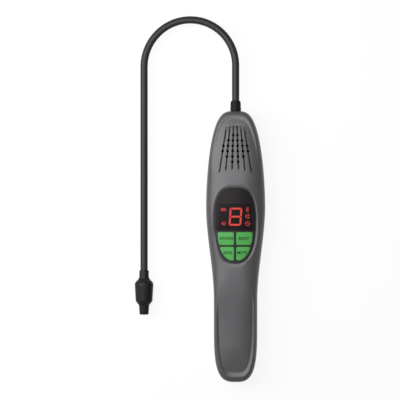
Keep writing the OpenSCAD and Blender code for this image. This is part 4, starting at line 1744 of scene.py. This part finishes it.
@dataclass
class Readout:
    """Lit digit and signs behind the window."""

    panel: Panel
    middle: Point = (0.2, 26.55)
    half: Point = (5.5, 7.9)
    stroke: float = 1.6
    split: float = 0.32
    cut: float = 0.7
    slant_deg: float = 4.0
    inlay_t: float = 0.05
    sign_x: Point = (-10.3, 10.9)
    sign_y: tuple[float, float, float] = (32.8, 26.9, 20.5)
    sign_scale: float = 0.9

    def segments(self) -> list[list[Point]]:
        """Outlines of the seven segments about the middle of the digit.

        Returns:
            The outlines.
        """
        w, h = self.half
        t, g, c = self.stroke, self.split, self.cut
        top = [(c + g - w, h), (w - g - c, h), (w - g - c / 2, h - c / 2),
               (w - t - g, h - t), (t + g - w, h - t), (c / 2 + g - w, h - c / 2)]
        upper = [(w, h - g - c), (w - c / 2, h - g - c / 2), (w - t, h - t - g),
                 (w - t, t / 2 + g), (w - t / 2, g), (w, g)]
        bar = [(w - t / 2 - g, 0), (w - t - g, t / 2), (t + g - w, t / 2), (t / 2 + g - w, 0),
               (t + g - w, -t / 2), (w - t - g, -t / 2)]
        shapes = [top, [(x, -y) for x, y in top], bar]
        for across in (-1, 1):
            for along in (-1, 1):
                shapes.append([(across * x, along * y) for x, y in upper])
        lean = math.tan(math.radians(self.slant_deg))
        return [[(x + lean * y, y) for x, y in shape] for shape in shapes]

    def inlay(self, outline: Sequence[Point], middle: Point, scale: float = 1.0) -> Piece:
        """Thin inlay of an outline on the window.

        Args:
            outline: Points about a middle of its own.
            middle: Place of that middle on the window.
            scale: Share of the size that it is drawn in.

        Returns:
            The bent inlay.
        """
        moved = [(x * scale + middle[0], y * scale + middle[1]) for x, y in outline]
        low = self.panel.top_z - self.inlay_t / 2
        plate = Plate("inlay", moved, low, low + self.inlay_t).strips(self.panel.strip_mm)
        return Bench.tidy(self.panel.bend(plate.obj, 0.0), FINE_MERGE)

    @staticmethod
    def _box(low: Point, high: Point) -> list[Point]:
        """Outline of an upright bar between two corners."""
        return [low, (high[0], low[1]), high, (low[0], high[1])]

    @staticmethod
    def _band(middle: Point, radius: float, width: float, start_deg: float, end_deg: float) -> list[Point]:
        """Outline of a bent band about a middle point, which may close to a ring.

        Args:
            middle: Middle point.
            radius: Radius of the band's middle line.
            width: Width of the band.
            start_deg: Angle of its start.
            end_deg: Angle of its end.

        Returns:
            The points.
        """
        steps = max(8, round(abs(end_deg - start_deg) / 12))
        stop_deg = min(end_deg, start_deg + 358.0)
        outer = arc(middle, radius + width / 2, start_deg, stop_deg, steps)
        return outer + arc(middle, radius - width / 2, stop_deg, start_deg, steps)

    def digit(self) -> Piece:
        """Build the slanted digit."""
        return Bench.join("display_digit", [self.inlay(shape, self.middle) for shape in self.segments()])

    def signs(self) -> Piece:
        """Build the small signs beside the digit.

        Returns:
            The joined signs.
        """
        left, right = self.sign_x
        high, centre, low = self.sign_y
        places = (
            ((left, high), self._count_sign()),
            ((left, low), self._horn_sign()),
            ((right, high), self._comb_sign()),
            ((right, centre), self._fan_sign()),
            ((right, low), self._wave_sign()),
        )
        parts = []
        for place, outlines in places:
            parts += [self.inlay(outline, place, self.sign_scale) for outline in outlines]
        return Bench.join("display_signs", parts)

    def _count_sign(self) -> list[list[Point]]:
        """Outlines of three upright bars and a ring.

        Returns:
            The outlines.
        """
        pitch, start, wide, tall = 0.95, -2.6, 0.75, 1.45
        lefts = [start + pitch * i for i in range(3)]
        bars = [self._box((x, -tall), (x + wide, tall)) for x in lefts]
        return bars + [self._band((1.1, 0), 1.05, 0.85, 0, 360)]

    def _horn_sign(self) -> list[list[Point]]:
        """Outlines of a horn and its sound.

        Returns:
            The outlines.
        """
        mouth_x = -0.2
        horn = [(-2.3, 0.0), (mouth_x, -2.0), (mouth_x, 2.0)]
        return [horn, self._band((mouth_x, 0), 1.95, 0.75, -82, 82)]

    def _comb_sign(self) -> list[list[Point]]:
        """Outlines of a spine with three arms.

        Returns:
            The outlines.
        """
        pitch, half = 1.65, 0.38
        arms = [self._box((-0.6, y - half), (1.35, y + half)) for y in (-pitch, 0.0, pitch)]
        return [self._box((-1.35, -2.0), (-0.55, 2.0)), *arms]

    @staticmethod
    def _fan_sign() -> list[list[Point]]:
        """Outlines of three blades.

        Returns:
            The outlines.
        """
        pitch_deg, outer, inner = 115, 2.3, 0.8
        blades = []
        for turn in range(0, 3 * pitch_deg, pitch_deg):
            edge = arc((0, 0), outer, 25 + turn, 110 + turn, steps=8)
            blades.append(edge + arc((0, 0), inner, 105 + turn, 30 + turn, steps=4))
        return blades

    def _wave_sign(self) -> list[list[Point]]:
        """Outlines of a ring and a wave through it.

        Returns:
            The outlines.
        """
        start, step, height, rate, half = -1.5, 0.2, 0.6, 0.42, 0.32
        crest = [(start + step * i, height * math.sin(rate * i)) for i in range(16)]
        ribbon = [(x, y + half) for x, y in crest] + [(x, y - half) for x, y in reversed(crest)]
        return [self._band((0, 0), 2.1, 0.6, 0, 360), ribbon]


@dataclass
class Screws:
    """Self-tapping screws that hold the two shells."""

    stations: Point = (72.5, -21.0)
    wall_offset: float = 8.3
    boss_d: float = 7.6
    shank_d: float = 3.0
    head_d: float = 5.6
    head_low: float = 6.0
    seat_z: float = 8.0
    end_z: float = 26.0
    boss_low: float = 1.1
    head_gap: float = 0.2
    shank_gap: float = 0.1
    mouth: float = 0.3
    drill_rise: float = 2.0
    crown: tuple[Point, ...] = ((0.4, 0.0), (0.72, 0.1), (0.9, 0.34), (1.0, 0.8))
    thread_from: float = 1.0
    thread_d: float = 0.35
    thread_rise: float = 0.3
    thread_pitch: float = 1.15
    thread_turns: int = 14
    point_r: float = 0.3
    point_len: float = 1.4
    slot_half: Point = (1.6, 0.36)
    slot_d: float = 1.2
    first_turn_deg: float = 20.0
    next_turn_deg: float = 37.0
    sides: int = 40
    crease_deg: float = 30.0

    def spots(self, form: HousingForm) -> list[Point]:
        """Places of the screws."""
        return [(s * (form.half_width(y) - self.wall_offset), y) for s in (-1, 1) for y in self.stations]

    def bosses(self, form: HousingForm) -> list[Piece]:
        """Pillars in the rear shell around the screws."""
        profile = [(self.boss_d / 2, self.boss_low), (self.boss_d / 2, form.parting_z)]
        return [upright(x, y, self.sides).turn("boss", profile) for x, y in self.spots(form)]

    def drills(self, form: HousingForm) -> Piece:
        """Tool that drills and counterbores the rear shell.

        Args:
            form: Form of the housing.

        Returns:
            The joined tool.
        """
        wide, slim = self.head_d / 2 + self.head_gap, self.shank_d / 2 + self.shank_gap
        profile = [(wide + self.mouth, -SPARE), (wide + self.mouth, 0.0), (wide, self.mouth),
                   (wide, self.seat_z), (slim, self.seat_z), (slim, form.parting_z + self.drill_rise)]
        tools = [upright(x, y, self.sides).turn("drill", profile) for x, y in self.spots(form)]
        return Bench.join("screw_tools", tools)

    def build(self, form: HousingForm) -> Piece:
        """Build one screw with its cross recess, and copy it to each place.

        Args:
            form: Form of the housing.

        Returns:
            The joined screws.
        """
        head, shank, low = self.head_d / 2, self.shank_d / 2, self.head_low
        root = shank - self.thread_d
        profile = [(head * share, low + rise) for share, rise in self.crown]
        profile += [(head, self.seat_z), (shank, self.seat_z)]
        for i in range(self.thread_turns):
            z = self.seat_z + self.thread_from + i * self.thread_pitch
            profile += [(root, z), (shank, z + self.thread_rise)]
        profile += [(root, self.end_z - self.point_len), (self.point_r, self.end_z)]
        screw = upright(0.0, 0.0, self.sides).turn("screw", profile)
        for wide, tall in (self.slot_half, reversed(self.slot_half)):
            slot = Bench.block("slot_tool", (-wide, -tall, low - SPARE), (wide, tall, low + self.slot_d))
            Bench.combine(screw, Cut.REMOVE, slot)
        copies = []
        for i, (x, y) in enumerate(self.spots(form)):
            copies.append(Bench.copy(screw, (x, y, 0.0), self.first_turn_deg + self.next_turn_deg * i))
        bpy.data.objects.remove(screw)
        screws = Bench.join("housing_screws_threaded", copies)
        return Bench.smooth(screws, self.crease_deg)


@dataclass
class Door:
    """Sliding battery door and the bay that it closes."""

    half_w: float = 15.5
    low_y: float = -104.0
    top_y: float = -29.4
    thick: float = 2.4
    gap: float = 0.25
    travel: float = 8.0
    bay_half: float = 14.9
    bay_low: float = -88.5
    bay_top: float = -31.6
    bay_wall: float = 1.6
    bay_ceiling: float = 19.0
    bay_roof_t: float = 1.2
    bay_cut: float = 6.4
    seat_end: float = -121.0
    floor_z: float = 4.4
    hook_len: float = 5.0
    hook_t: float = 1.1
    hook_reach: float = 0.9
    hook_ys: Point = (-74.5, -39.6)
    hook_root: float = 1.5
    overlap: float = 0.01
    rib_x: float = 7.45
    rib_gap: float = 1.0
    rib_half: float = 0.6
    rib_t: float = 1.45
    rib_end: float = 48.5
    grip_y: float = -97.0
    grip_half: float = 8.5
    grip_count: int = 6
    grip_pitch: float = 2.3
    grip_r: Point = (0.3, 0.9)
    grip_taper: float = 0.8
    grip_low: float = 0.35
    grip_sides: int = 20
    edge_w: float = 0.2
    edge_steps: int = 2
    edge_deg: float = 50.0
    crease_deg: float = 35.0

    def bay_walls(self) -> list[Piece]:
        """End walls and ceiling of the bay.

        Returns:
            The walls.
        """
        half, roof = self.bay_half, self.bay_ceiling + self.bay_roof_t
        low, top = self.bay_low - self.bay_wall, self.bay_top + self.bay_wall
        foot = self.floor_z - SPARE
        return [
            Bench.block("bay_end", (-half, low, foot), (half, self.bay_low, roof)),
            Bench.block("bay_end", (-half, self.bay_top, foot), (half, top, roof)),
            Bench.block("bay_roof", (-half, low, self.bay_ceiling), (half, top, roof)),
        ]

    def seat_tools(self) -> list[Piece]:
        """Tools that cut the door's seat, the bay and the ways of the hooks.

        Returns:
            The tools.
        """
        side, half = self.half_w + self.gap, self.bay_half
        seat_top = (side, self.top_y + self.gap, self.thick + self.gap)
        tools = [
            Bench.block("seat_tool", (-side, self.seat_end, -SPARE), seat_top),
            Bench.block("bay_tool", (-half, self.bay_low, -SPARE), (half, self.bay_top, self.bay_cut)),
        ]
        reach = self.bay_half + self.hook_reach + self.gap
        for y in self.hook_ys:
            start = y - self.hook_len / 2 - self.travel - self.gap
            entry = start + self.hook_len + 2 * self.gap
            tools.append(Bench.block("entry_tool", (-reach, start, -SPARE), (reach, entry, self.bay_cut)))
            slot_top = (reach, entry + self.travel, self.floor_z + self.hook_t + 2 * self.gap)
            tools.append(Bench.block("slot_tool", (-reach, start, self.floor_z), slot_top))
        return tools

    def build(self, form: HousingForm) -> Piece:
        """Build the door with its hooks, ribs and thumb grip.

        Args:
            form: Form of the housing.

        Returns:
            The door.
        """
        rim = [(x, y, form.parting_z) for x, y in form.inset(0.0)]
        back = RingLoft("back_form", rim).extrude(*Shells(form).back_rings()).merged()
        door = Bench.block("battery_door_ridged", (-self.half_w, self.low_y, -SPARE),
                           (self.half_w, self.top_y, self.thick))
        Bench.combine(door, Cut.SHARED, back)
        Bench.combine(door, Cut.REMOVE, *self._grip_tools())
        for s in (-1, 1):
            x = s * self.rib_x
            start = self.bay_low + self.travel + self.rib_gap
            rib = Bench.block("rib", (x - self.rib_half, start, self.thick - self.overlap),
                              (x + self.rib_half, self.bay_low + self.rib_end, self.thick + self.rib_t))
            Bench.combine(door, Cut.ADD, rib, *[self._hook(s, y) for y in self.hook_ys])
        Bench.modify(door, "BEVEL", width=self.edge_w * MM, segments=self.edge_steps,
                     limit_method="ANGLE", angle_limit=math.radians(self.edge_deg))
        return Bench.smooth(door, self.crease_deg)

    def _hook(self, side: int, y: float) -> Piece:
        """Hook that reaches over the ledge beside the bay.

        Args:
            side: Side of the middle line, -1 or 1.
            y: Station of its middle.

        Returns:
            The hook.
        """
        z = self.floor_z + self.gap
        x = self.bay_half - self.gap
        end = self.bay_half + self.hook_reach
        root, foot, top = x - self.hook_root, self.thick - self.overlap, z + self.hook_t
        section = [(root, foot), (x, foot), (x, z), (end, z), (end, top), (root, top)]
        half = self.hook_len / 2
        ends = [[(side * u, y + shift, v) for u, v in section] for shift in (-half, half)]
        return RingLoft("hook", ends[0]).extrude(ends[1]).closed()

    def _grip_tools(self) -> list[Piece]:
        """Tools that cut the thumb grip's hollows.

        Returns:
            The tools.
        """
        slim, wide = self.grip_r
        end, inner = self.grip_half, self.grip_half - self.grip_taper
        profile = [(slim, -end), (wide, -inner), (wide, inner), (slim, end)]
        tools = []
        for i in range(self.grip_count):
            y = self.grip_y + i * self.grip_pitch
            bar = Turning(lambda u, v, w, y=y: (w, y + u, v - self.grip_low), self.grip_sides)
            tools.append(bar.turn("grip_tool", profile))
        return tools


@dataclass
class Neck:
    """Gooseneck from the housing round its bend to the tip."""

    root_y: float = 120.0
    root_z: float = 17.0
    inner_y: float = 106.0
    bend_y: float = 160.49
    bend_r: float = 41.3
    tip_y: float = -21.6
    tip_z: float = 8.34
    sleeve_d: float = 6.55
    sleeve_wall: float = 0.75
    end_y: float = -29.5
    bend_steps: int = 56
    root_steps: int = 10
    drop_steps: int = 24
    sides: int = 28
    bore_gap: float = 0.05
    boot_profile: tuple[Point, ...] = (
        (5.5, -5.5), (5.5, -3.5), (4.1, -3.5), (4.1, 0.1), (4.55, 0.1), (4.7, 0.18), (4.75, 0.4),
        (4.74, 1.3), (4.7, 2.8), (4.63, 4.6), (4.54, 6.6), (4.45, 8.1), (4.32, 8.6), (4.1, 8.95),
        (3.8, 9.15), (3.5, 9.2),
    )
    boot_sides: int = 56
    crease_deg: float = 40.0

    def place(self, x: float, y: float, z: float) -> Place:
        """Place of a point given in the plane of the bend, which leans.

        Args:
            x: Distance across the bend.
            y: Distance along it.
            z: Distance out of its plane.

        Returns:
            The place.
        """
        lean = math.asin((self.root_z - self.tip_z) / (2 * self.bend_r))
        out = x * math.cos(lean) - z * math.sin(lean)
        return (out, y, self.root_z + x * math.sin(lean) + z * math.cos(lean))

    def stations(self) -> list[Place]:
        """Middle point and turn of the rings along the run.

        Returns:
            The stations, from the housing to the tip.
        """
        rise = (self.bend_y - self.inner_y) / self.root_steps
        steps = [(0.0, self.inner_y + rise * i, 0.0) for i in range(self.root_steps)]
        for i in range(self.bend_steps + 1):
            turn = math.pi * i / self.bend_steps
            x = self.bend_r * (math.cos(turn) - 1)
            steps.append((x, self.bend_y + self.bend_r * math.sin(turn), turn))
        drop = (self.bend_y - self.end_y) / self.drop_steps
        far = -2 * self.bend_r
        return steps + [(far, self.bend_y - drop * (i + 1), math.pi) for i in range(self.drop_steps)]

    def ring(self, station: Place, radius: float) -> Ring:
        """Ring round the run at a station.

        Args:
            station: Middle point and turn.
            radius: Distance from the middle.

        Returns:
            The ring.
        """
        x, y, turn = station
        points = []
        for i in range(self.sides):
            angle = 2 * math.pi * i / self.sides
            out, up = radius * math.cos(angle), radius * math.sin(angle)
            points.append(self.place(x + out * math.cos(turn), y + out * math.sin(turn), up))
        return points

    def sleeve(self) -> Piece:
        """Build the sleeve as a tube, with its run stored for the ribs.

        Returns:
            The sleeve.
        """
        outer = [self.ring(s, self.sleeve_d / 2) for s in self.stations()]
        inner = [self.ring(s, self.sleeve_d / 2 - self.sleeve_wall) for s in reversed(self.stations())]
        tube = RingLoft("gooseneck_sleeve_ribbed", outer[0], filled=False)
        sleeve = tube.extrude(*outer[1:], *inner, outer[0]).merged()
        run = sleeve.data.attributes.new(RUN_MM, "FLOAT", "POINT")
        for vertex in sleeve.data.vertices:
            run.data[vertex.index].value = self.run_at(vertex.co / MM)
        return Bench.smooth(sleeve, self.crease_deg)

    def run_at(self, point: Vector) -> float:
        """Distance along the run of a point near it.

        Args:
            point: Point near the run, in millimetres.

        Returns:
            The distance.
        """
        straight = self.bend_y - self.inner_y
        if point.y >= self.bend_y:
            turn = math.atan2(point.y - self.bend_y, point.x + self.bend_r)
            return straight + self.bend_r * turn
        if point.x > -self.bend_r:
            return point.y - self.inner_y
        return straight + math.pi * self.bend_r + self.bend_y - point.y

    def boot(self) -> Piece:
        """Build the strain relief with its neck, flange and bore.

        Returns:
            The strain relief.
        """
        bore = self.sleeve_d / 2 + self.bore_gap
        (_, low), (_, high) = self.boot_profile[0], self.boot_profile[-1]
        profile = [(bore, low), *self.boot_profile, (bore, high)]
        turning = Turning(lambda u, v, w: (u, self.root_y + w, self.root_z + v), self.boot_sides)
        boot = turning.turn("strain_relief_boot", profile, hollow=True)
        return Bench.smooth(boot, self.crease_deg)


@dataclass
class Tip:
    """Sensor tip: collar and pull-off cap."""

    neck: Neck
    collar_r: float = 4.27
    flare_r: float = 6.26
    flare_from: float = 5.2
    collar_len: float = 9.24
    cap_r: float = 8.34
    shoulder_len: float = 3.6
    seat: float = 27.54
    cap_end: float = 39.64
    inlet_r: float = 2.6
    bore_r: float = 3.32
    bore_end: float = 8.0
    lead_r: float = 1.5
    collar_edge: tuple[Point, ...] = ((-0.7, 0.0), (-0.35, 0.12), (-0.1, 0.4), (0.0, 0.9), (0.0, 3.0))
    spigot: tuple[Point, ...] = (
        (5.6, 0.0), (5.6, 2.2), (4.7, 2.2), (4.7, 3.4), (5.6, 3.4), (5.6, 6.1), (5.2, 6.5), (1.5, 6.5),
    )
    cap_bore: float = 5.75
    cap_taper: float = 0.82
    barrel_end: float = 0.4
    barrel_steps: int = 9
    shoulder_power: float = 0.8
    barrel_edge: tuple[Point, ...] = ((0.0, -0.4), (-0.03, -0.1), (-0.14, 0.2), (-0.34, 0.48))
    nozzle_root: tuple[Point, ...] = ((2.45, 3.2), (2.2, 3.6), (2.0, 4.2), (1.92, 4.8))
    nozzle_end: tuple[Point, ...] = (
        (1.47, -0.75), (1.36, -0.35), (1.1, -0.08), (0.85, 0.0), (0.15, 0.0), (0.0, -0.15),
    )
    inlet_d: float = 4.0
    filter_r: float = 4.75
    steps: int = 14
    sides: int = 72
    crease_deg: float = 35.0

    def _turned(self, name: str, profile: Sequence[Point]) -> Piece:
        """Turn a hollow profile about the tip's axis and shade it.

        Args:
            name: Name of the object.
            profile: Radius and distance of each point.

        Returns:
            The piece.
        """
        neck = self.neck
        turning = Turning(lambda u, v, w: neck.place(u - 2 * neck.bend_r, neck.tip_y - w, v), self.sides)
        piece = turning.turn(name, profile, hollow=True)
        return Bench.smooth(piece, self.crease_deg)

    @staticmethod
    def _off(radius: float, along: float, steps: Sequence[Point]) -> list[Point]:
        """Profile points given as steps from a radius and a distance."""
        return [(radius + out, along + ahead) for out, ahead in steps]

    def collar(self) -> Piece:
        """Build the collar with its flare and spigot.

        Returns:
            The collar.
        """
        r, end = self.collar_r, self.collar_len
        profile = [(self.bore_r, 0.0), *self._off(r, 0.0, self.collar_edge)]
        for i in range(self.steps + 1):
            u = i / self.steps
            along = self.flare_from + (end - self.flare_from) * u
            profile.append((r + (self.flare_r - r) * u * u, along))
        profile += self._off(0.0, end, self.spigot)
        profile += [(self.lead_r, self.bore_end), (self.bore_r, self.bore_end)]
        return self._turned("sensor_collar_turned", profile)

    def cap(self) -> Piece:
        """Build the cap with its shoulder, barrel and nozzle.

        Returns:
            The cap.
        """
        start, seat, end = self.collar_len, self.seat, self.cap_end
        profile = [(self.cap_bore, start)]
        for i in range(self.steps + 1):
            u = i / self.steps
            swell = math.sin(math.pi / 2 * u) ** self.shoulder_power
            radius = self.flare_r + (self.cap_r - self.flare_r) * swell
            profile.append((radius, start + self.shoulder_len * u))
        top = start + self.shoulder_len
        for i in range(1, self.barrel_steps):
            u = i / self.barrel_steps
            profile.append((self.cap_r - self.cap_taper * u, top + (seat - self.barrel_end - top) * u))
        r = self.inlet_r
        profile += self._off(self.cap_r - self.cap_taper, seat, self.barrel_edge)
        profile += self._off(r, seat, self.nozzle_root) + self._off(r, end, self.nozzle_end)
        profile += [(r, seat + self.inlet_d), (self.filter_r, seat), (self.cap_bore, seat)]
        return self._turned("sensor_cap_turned", profile)


KEY_NAMES = ("power", "reset", "sensitivity", "mute")
INNER_FINISHES: dict[str, Finish] = {
    "led_display": Finishes.MODULE,
    "circuit_board": Finishes.BOARD,
    "board_screws": Finishes.SCREW,
    "lead_connector": Finishes.PLUG,
    "sounder": Finishes.SOUNDER,
    "cell_left": Finishes.CELL,
    "cell_right": Finishes.CELL,
    "contact_left": Finishes.CONTACT,
    "contact_right": Finishes.CONTACT,
    "contact_bridge": Finishes.CONTACT,
    "gooseneck_core": Finishes.CORE,
    "sensor_lead": Finishes.LEAD,
    "seal_ring": Finishes.BOOT,
    "sensor_socket": Finishes.PLUG,
    "sensor_element": Finishes.SENSOR,
    "filter_disc": Finishes.FELT,
    **{f"{name}_plunger": Finishes.PLUNGER for name in KEY_NAMES},
    **{f"{name}_switch": Finishes.SWITCH for name in KEY_NAMES},
}


def dress_inner_pieces() -> None:
    """Give the pieces inside, which keep the frame's own meshes, their finishes."""
    for name, finish in INNER_FINISHES.items():
        Finishes.dress(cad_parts[name], finish)
        LOG.info("%s: frame mesh, %s", name, finish.name)


@dataclass
class Studio:
    """Camera, lamps, floor and sky."""

    eye: Place = (0.0348, 0.0412, 1.617)
    aim: Place = (-0.0317, 0.0412, 0.017)
    box_place: Place = (-0.47, 0.19, 0.5)
    box_aim: Place = (-0.3, 0.19, 0.0)
    box_size: Point = (1.15, 0.54)
    box_radiance: float = 5.35
    field_w: float = 0.3556
    sensor_w: float = 36.0
    floor_side: float = 8.0
    floor_z: float = -0.0002
    white_share: float = 0.9
    floor_tone: float = 0.9
    bounce: float = 0.08
    sky_light: float = 0.02

    def build(self) -> None:
        """Set up the whole studio."""
        bpy.context.scene.view_settings.view_transform = "Standard"
        self._camera()
        self._softbox()
        self._floor()
        self._sky()

    def _turn_to(self, start: Place, end: Place) -> Matrix:
        """Rotation that looks from one point to another with +Y up.

        Args:
            start: Point to look from.
            end: Point to look at.

        Returns:
            The rotation.
        """
        back = (Vector(start) - Vector(end)).normalized()
        right = Vector((0, 1, 0)).cross(back).normalized()
        up = back.cross(right)
        return Matrix((right, up, back)).transposed().to_4x4()

    def _camera(self) -> None:
        """Add the camera that looks down on the object."""
        data = bpy.data.cameras.new("photo_camera")
        data.sensor_width = self.sensor_w
        distance = (Vector(self.eye) - Vector(self.aim)).length
        data.lens = self.sensor_w * distance / self.field_w
        camera = bpy.data.objects.new("photo_camera", data)
        camera.matrix_world = Matrix.Translation(self.eye) @ self._turn_to(self.eye, self.aim)
        bpy.context.scene.collection.objects.link(camera)
        bpy.context.scene.camera = camera

    def _softbox(self) -> None:
        """Add the broad lamp that hangs over the head and to its left."""
        data = bpy.data.lights.new("softbox", "AREA")
        data.shape = "RECTANGLE"
        data.size, data.size_y = self.box_size
        data.energy = self.box_radiance * math.pi * data.size * data.size_y
        lamp = bpy.data.objects.new("softbox", data)
        lamp.matrix_world = Matrix.Translation(self.box_place) @ self._turn_to(self.box_place, self.box_aim)
        bpy.context.scene.collection.objects.link(lamp)

    def _seen(self, shader: Shader) -> Value:
        """One for rays that show the background, straight or mirrored.

        Args:
            shader: Tree to add it to.

        Returns:
            The share.
        """
        rays = shader.node("ShaderNodeLightPath", {}, {}).outputs
        names = ("Is Camera Ray", "Is Glossy Ray", "Is Transmission Ray")
        camera, glossy, through = (Value(shader, rays[name]) for name in names)
        return (camera + glossy + through).within()

    def _floor(self) -> None:
        """Add the pale floor, which keeps a soft shadow."""
        Bench.clear()
        bpy.ops.mesh.primitive_plane_add(size=self.floor_side, location=(0, 0, self.floor_z))
        floor = Bench.rename(bpy.context.object, "studio_floor")
        shader = Shader("studio_white")
        seen = self._seen(shader)
        tone = shader.mix(seen, (self.bounce,) * 3, (self.floor_tone,) * 3)
        lit = shader.node("ShaderNodeBsdfDiffuse", {}, {"Color": tone}).outputs[0]
        white = shader.node("ShaderNodeEmission", {}, {"Color": WHITE, "Strength": 1.0}).outputs[0]
        both = shader.node("ShaderNodeMixShader", {}, {0: seen * self.white_share, 1: lit, 2: white})
        shader.node("ShaderNodeOutputMaterial", {}, {"Surface": both.outputs[0]})
        floor.data.materials.append(shader.owner)

    def _sky(self) -> None:
        """Set the sky: white where it is seen, and dim where it lights."""
        shader = Shader("studio_sky", sky=True)
        bpy.context.scene.world = shader.owner
        strength = self._seen(shader) * (1 - self.sky_light) + self.sky_light
        glow = shader.node("ShaderNodeBackground", {}, {"Color": WHITE, "Strength": strength})
        shader.node("ShaderNodeOutputWorld", {}, {"Surface": glow.outputs[0]})


def main() -> None:
    """Build and dress every sub-assembly, then the studio."""
    logging.basicConfig(level=logging.INFO, format="%(name)s %(message)s")
    form = HousingForm()
    shells = Shells(form)
    panel = Panel()
    keys = Keys(panel)
    readout = Readout(panel)
    screws = Screws()
    door = Door()
    neck = Neck()
    tip = Tip(neck)
    Studio().build()
    hand_over(shells.front(panel), Finishes.HOUSING, Body.HOUSING, "front_shell")
    hand_over(shells.rear(door, screws), Finishes.HOUSING, Body.HOUSING, "rear_shell")
    hand_over(screws.build(form), Finishes.SCREW, Body.HOUSING, "housing_screws")
    hand_over(door.build(form), Finishes.HOUSING, Body.DOOR, "battery_door")
    hand_over(panel.bezel(keys), Finishes.PANEL, Body.HOUSING, "panel_bezel")
    hand_over(panel.window(), Finishes.WINDOW, Body.HOUSING, "display_window")
    for plan in keys.plans:
        hand_over(keys.cap(plan), Finishes.KEY, plan.body, plan.body.value)
        hand_over(keys.word(plan), Finishes.LETTERS, plan.body)
    hand_over(readout.digit(), Finishes.GLOW, Body.HOUSING)
    hand_over(readout.signs(), Finishes.FAINT_GLOW, Body.HOUSING)
    hand_over(neck.sleeve(), Finishes.SLEEVE, Body.HOUSING, "gooseneck_sleeve")
    hand_over(neck.boot(), Finishes.BOOT, Body.HOUSING, "strain_relief")
    hand_over(tip.collar(), Finishes.TIP, Body.HOUSING, "sensor_collar")
    hand_over(tip.cap(), Finishes.TIP, Body.CAP, "sensor_cap")
    dress_inner_pieces()


if __name__ == "__main__":
    main()
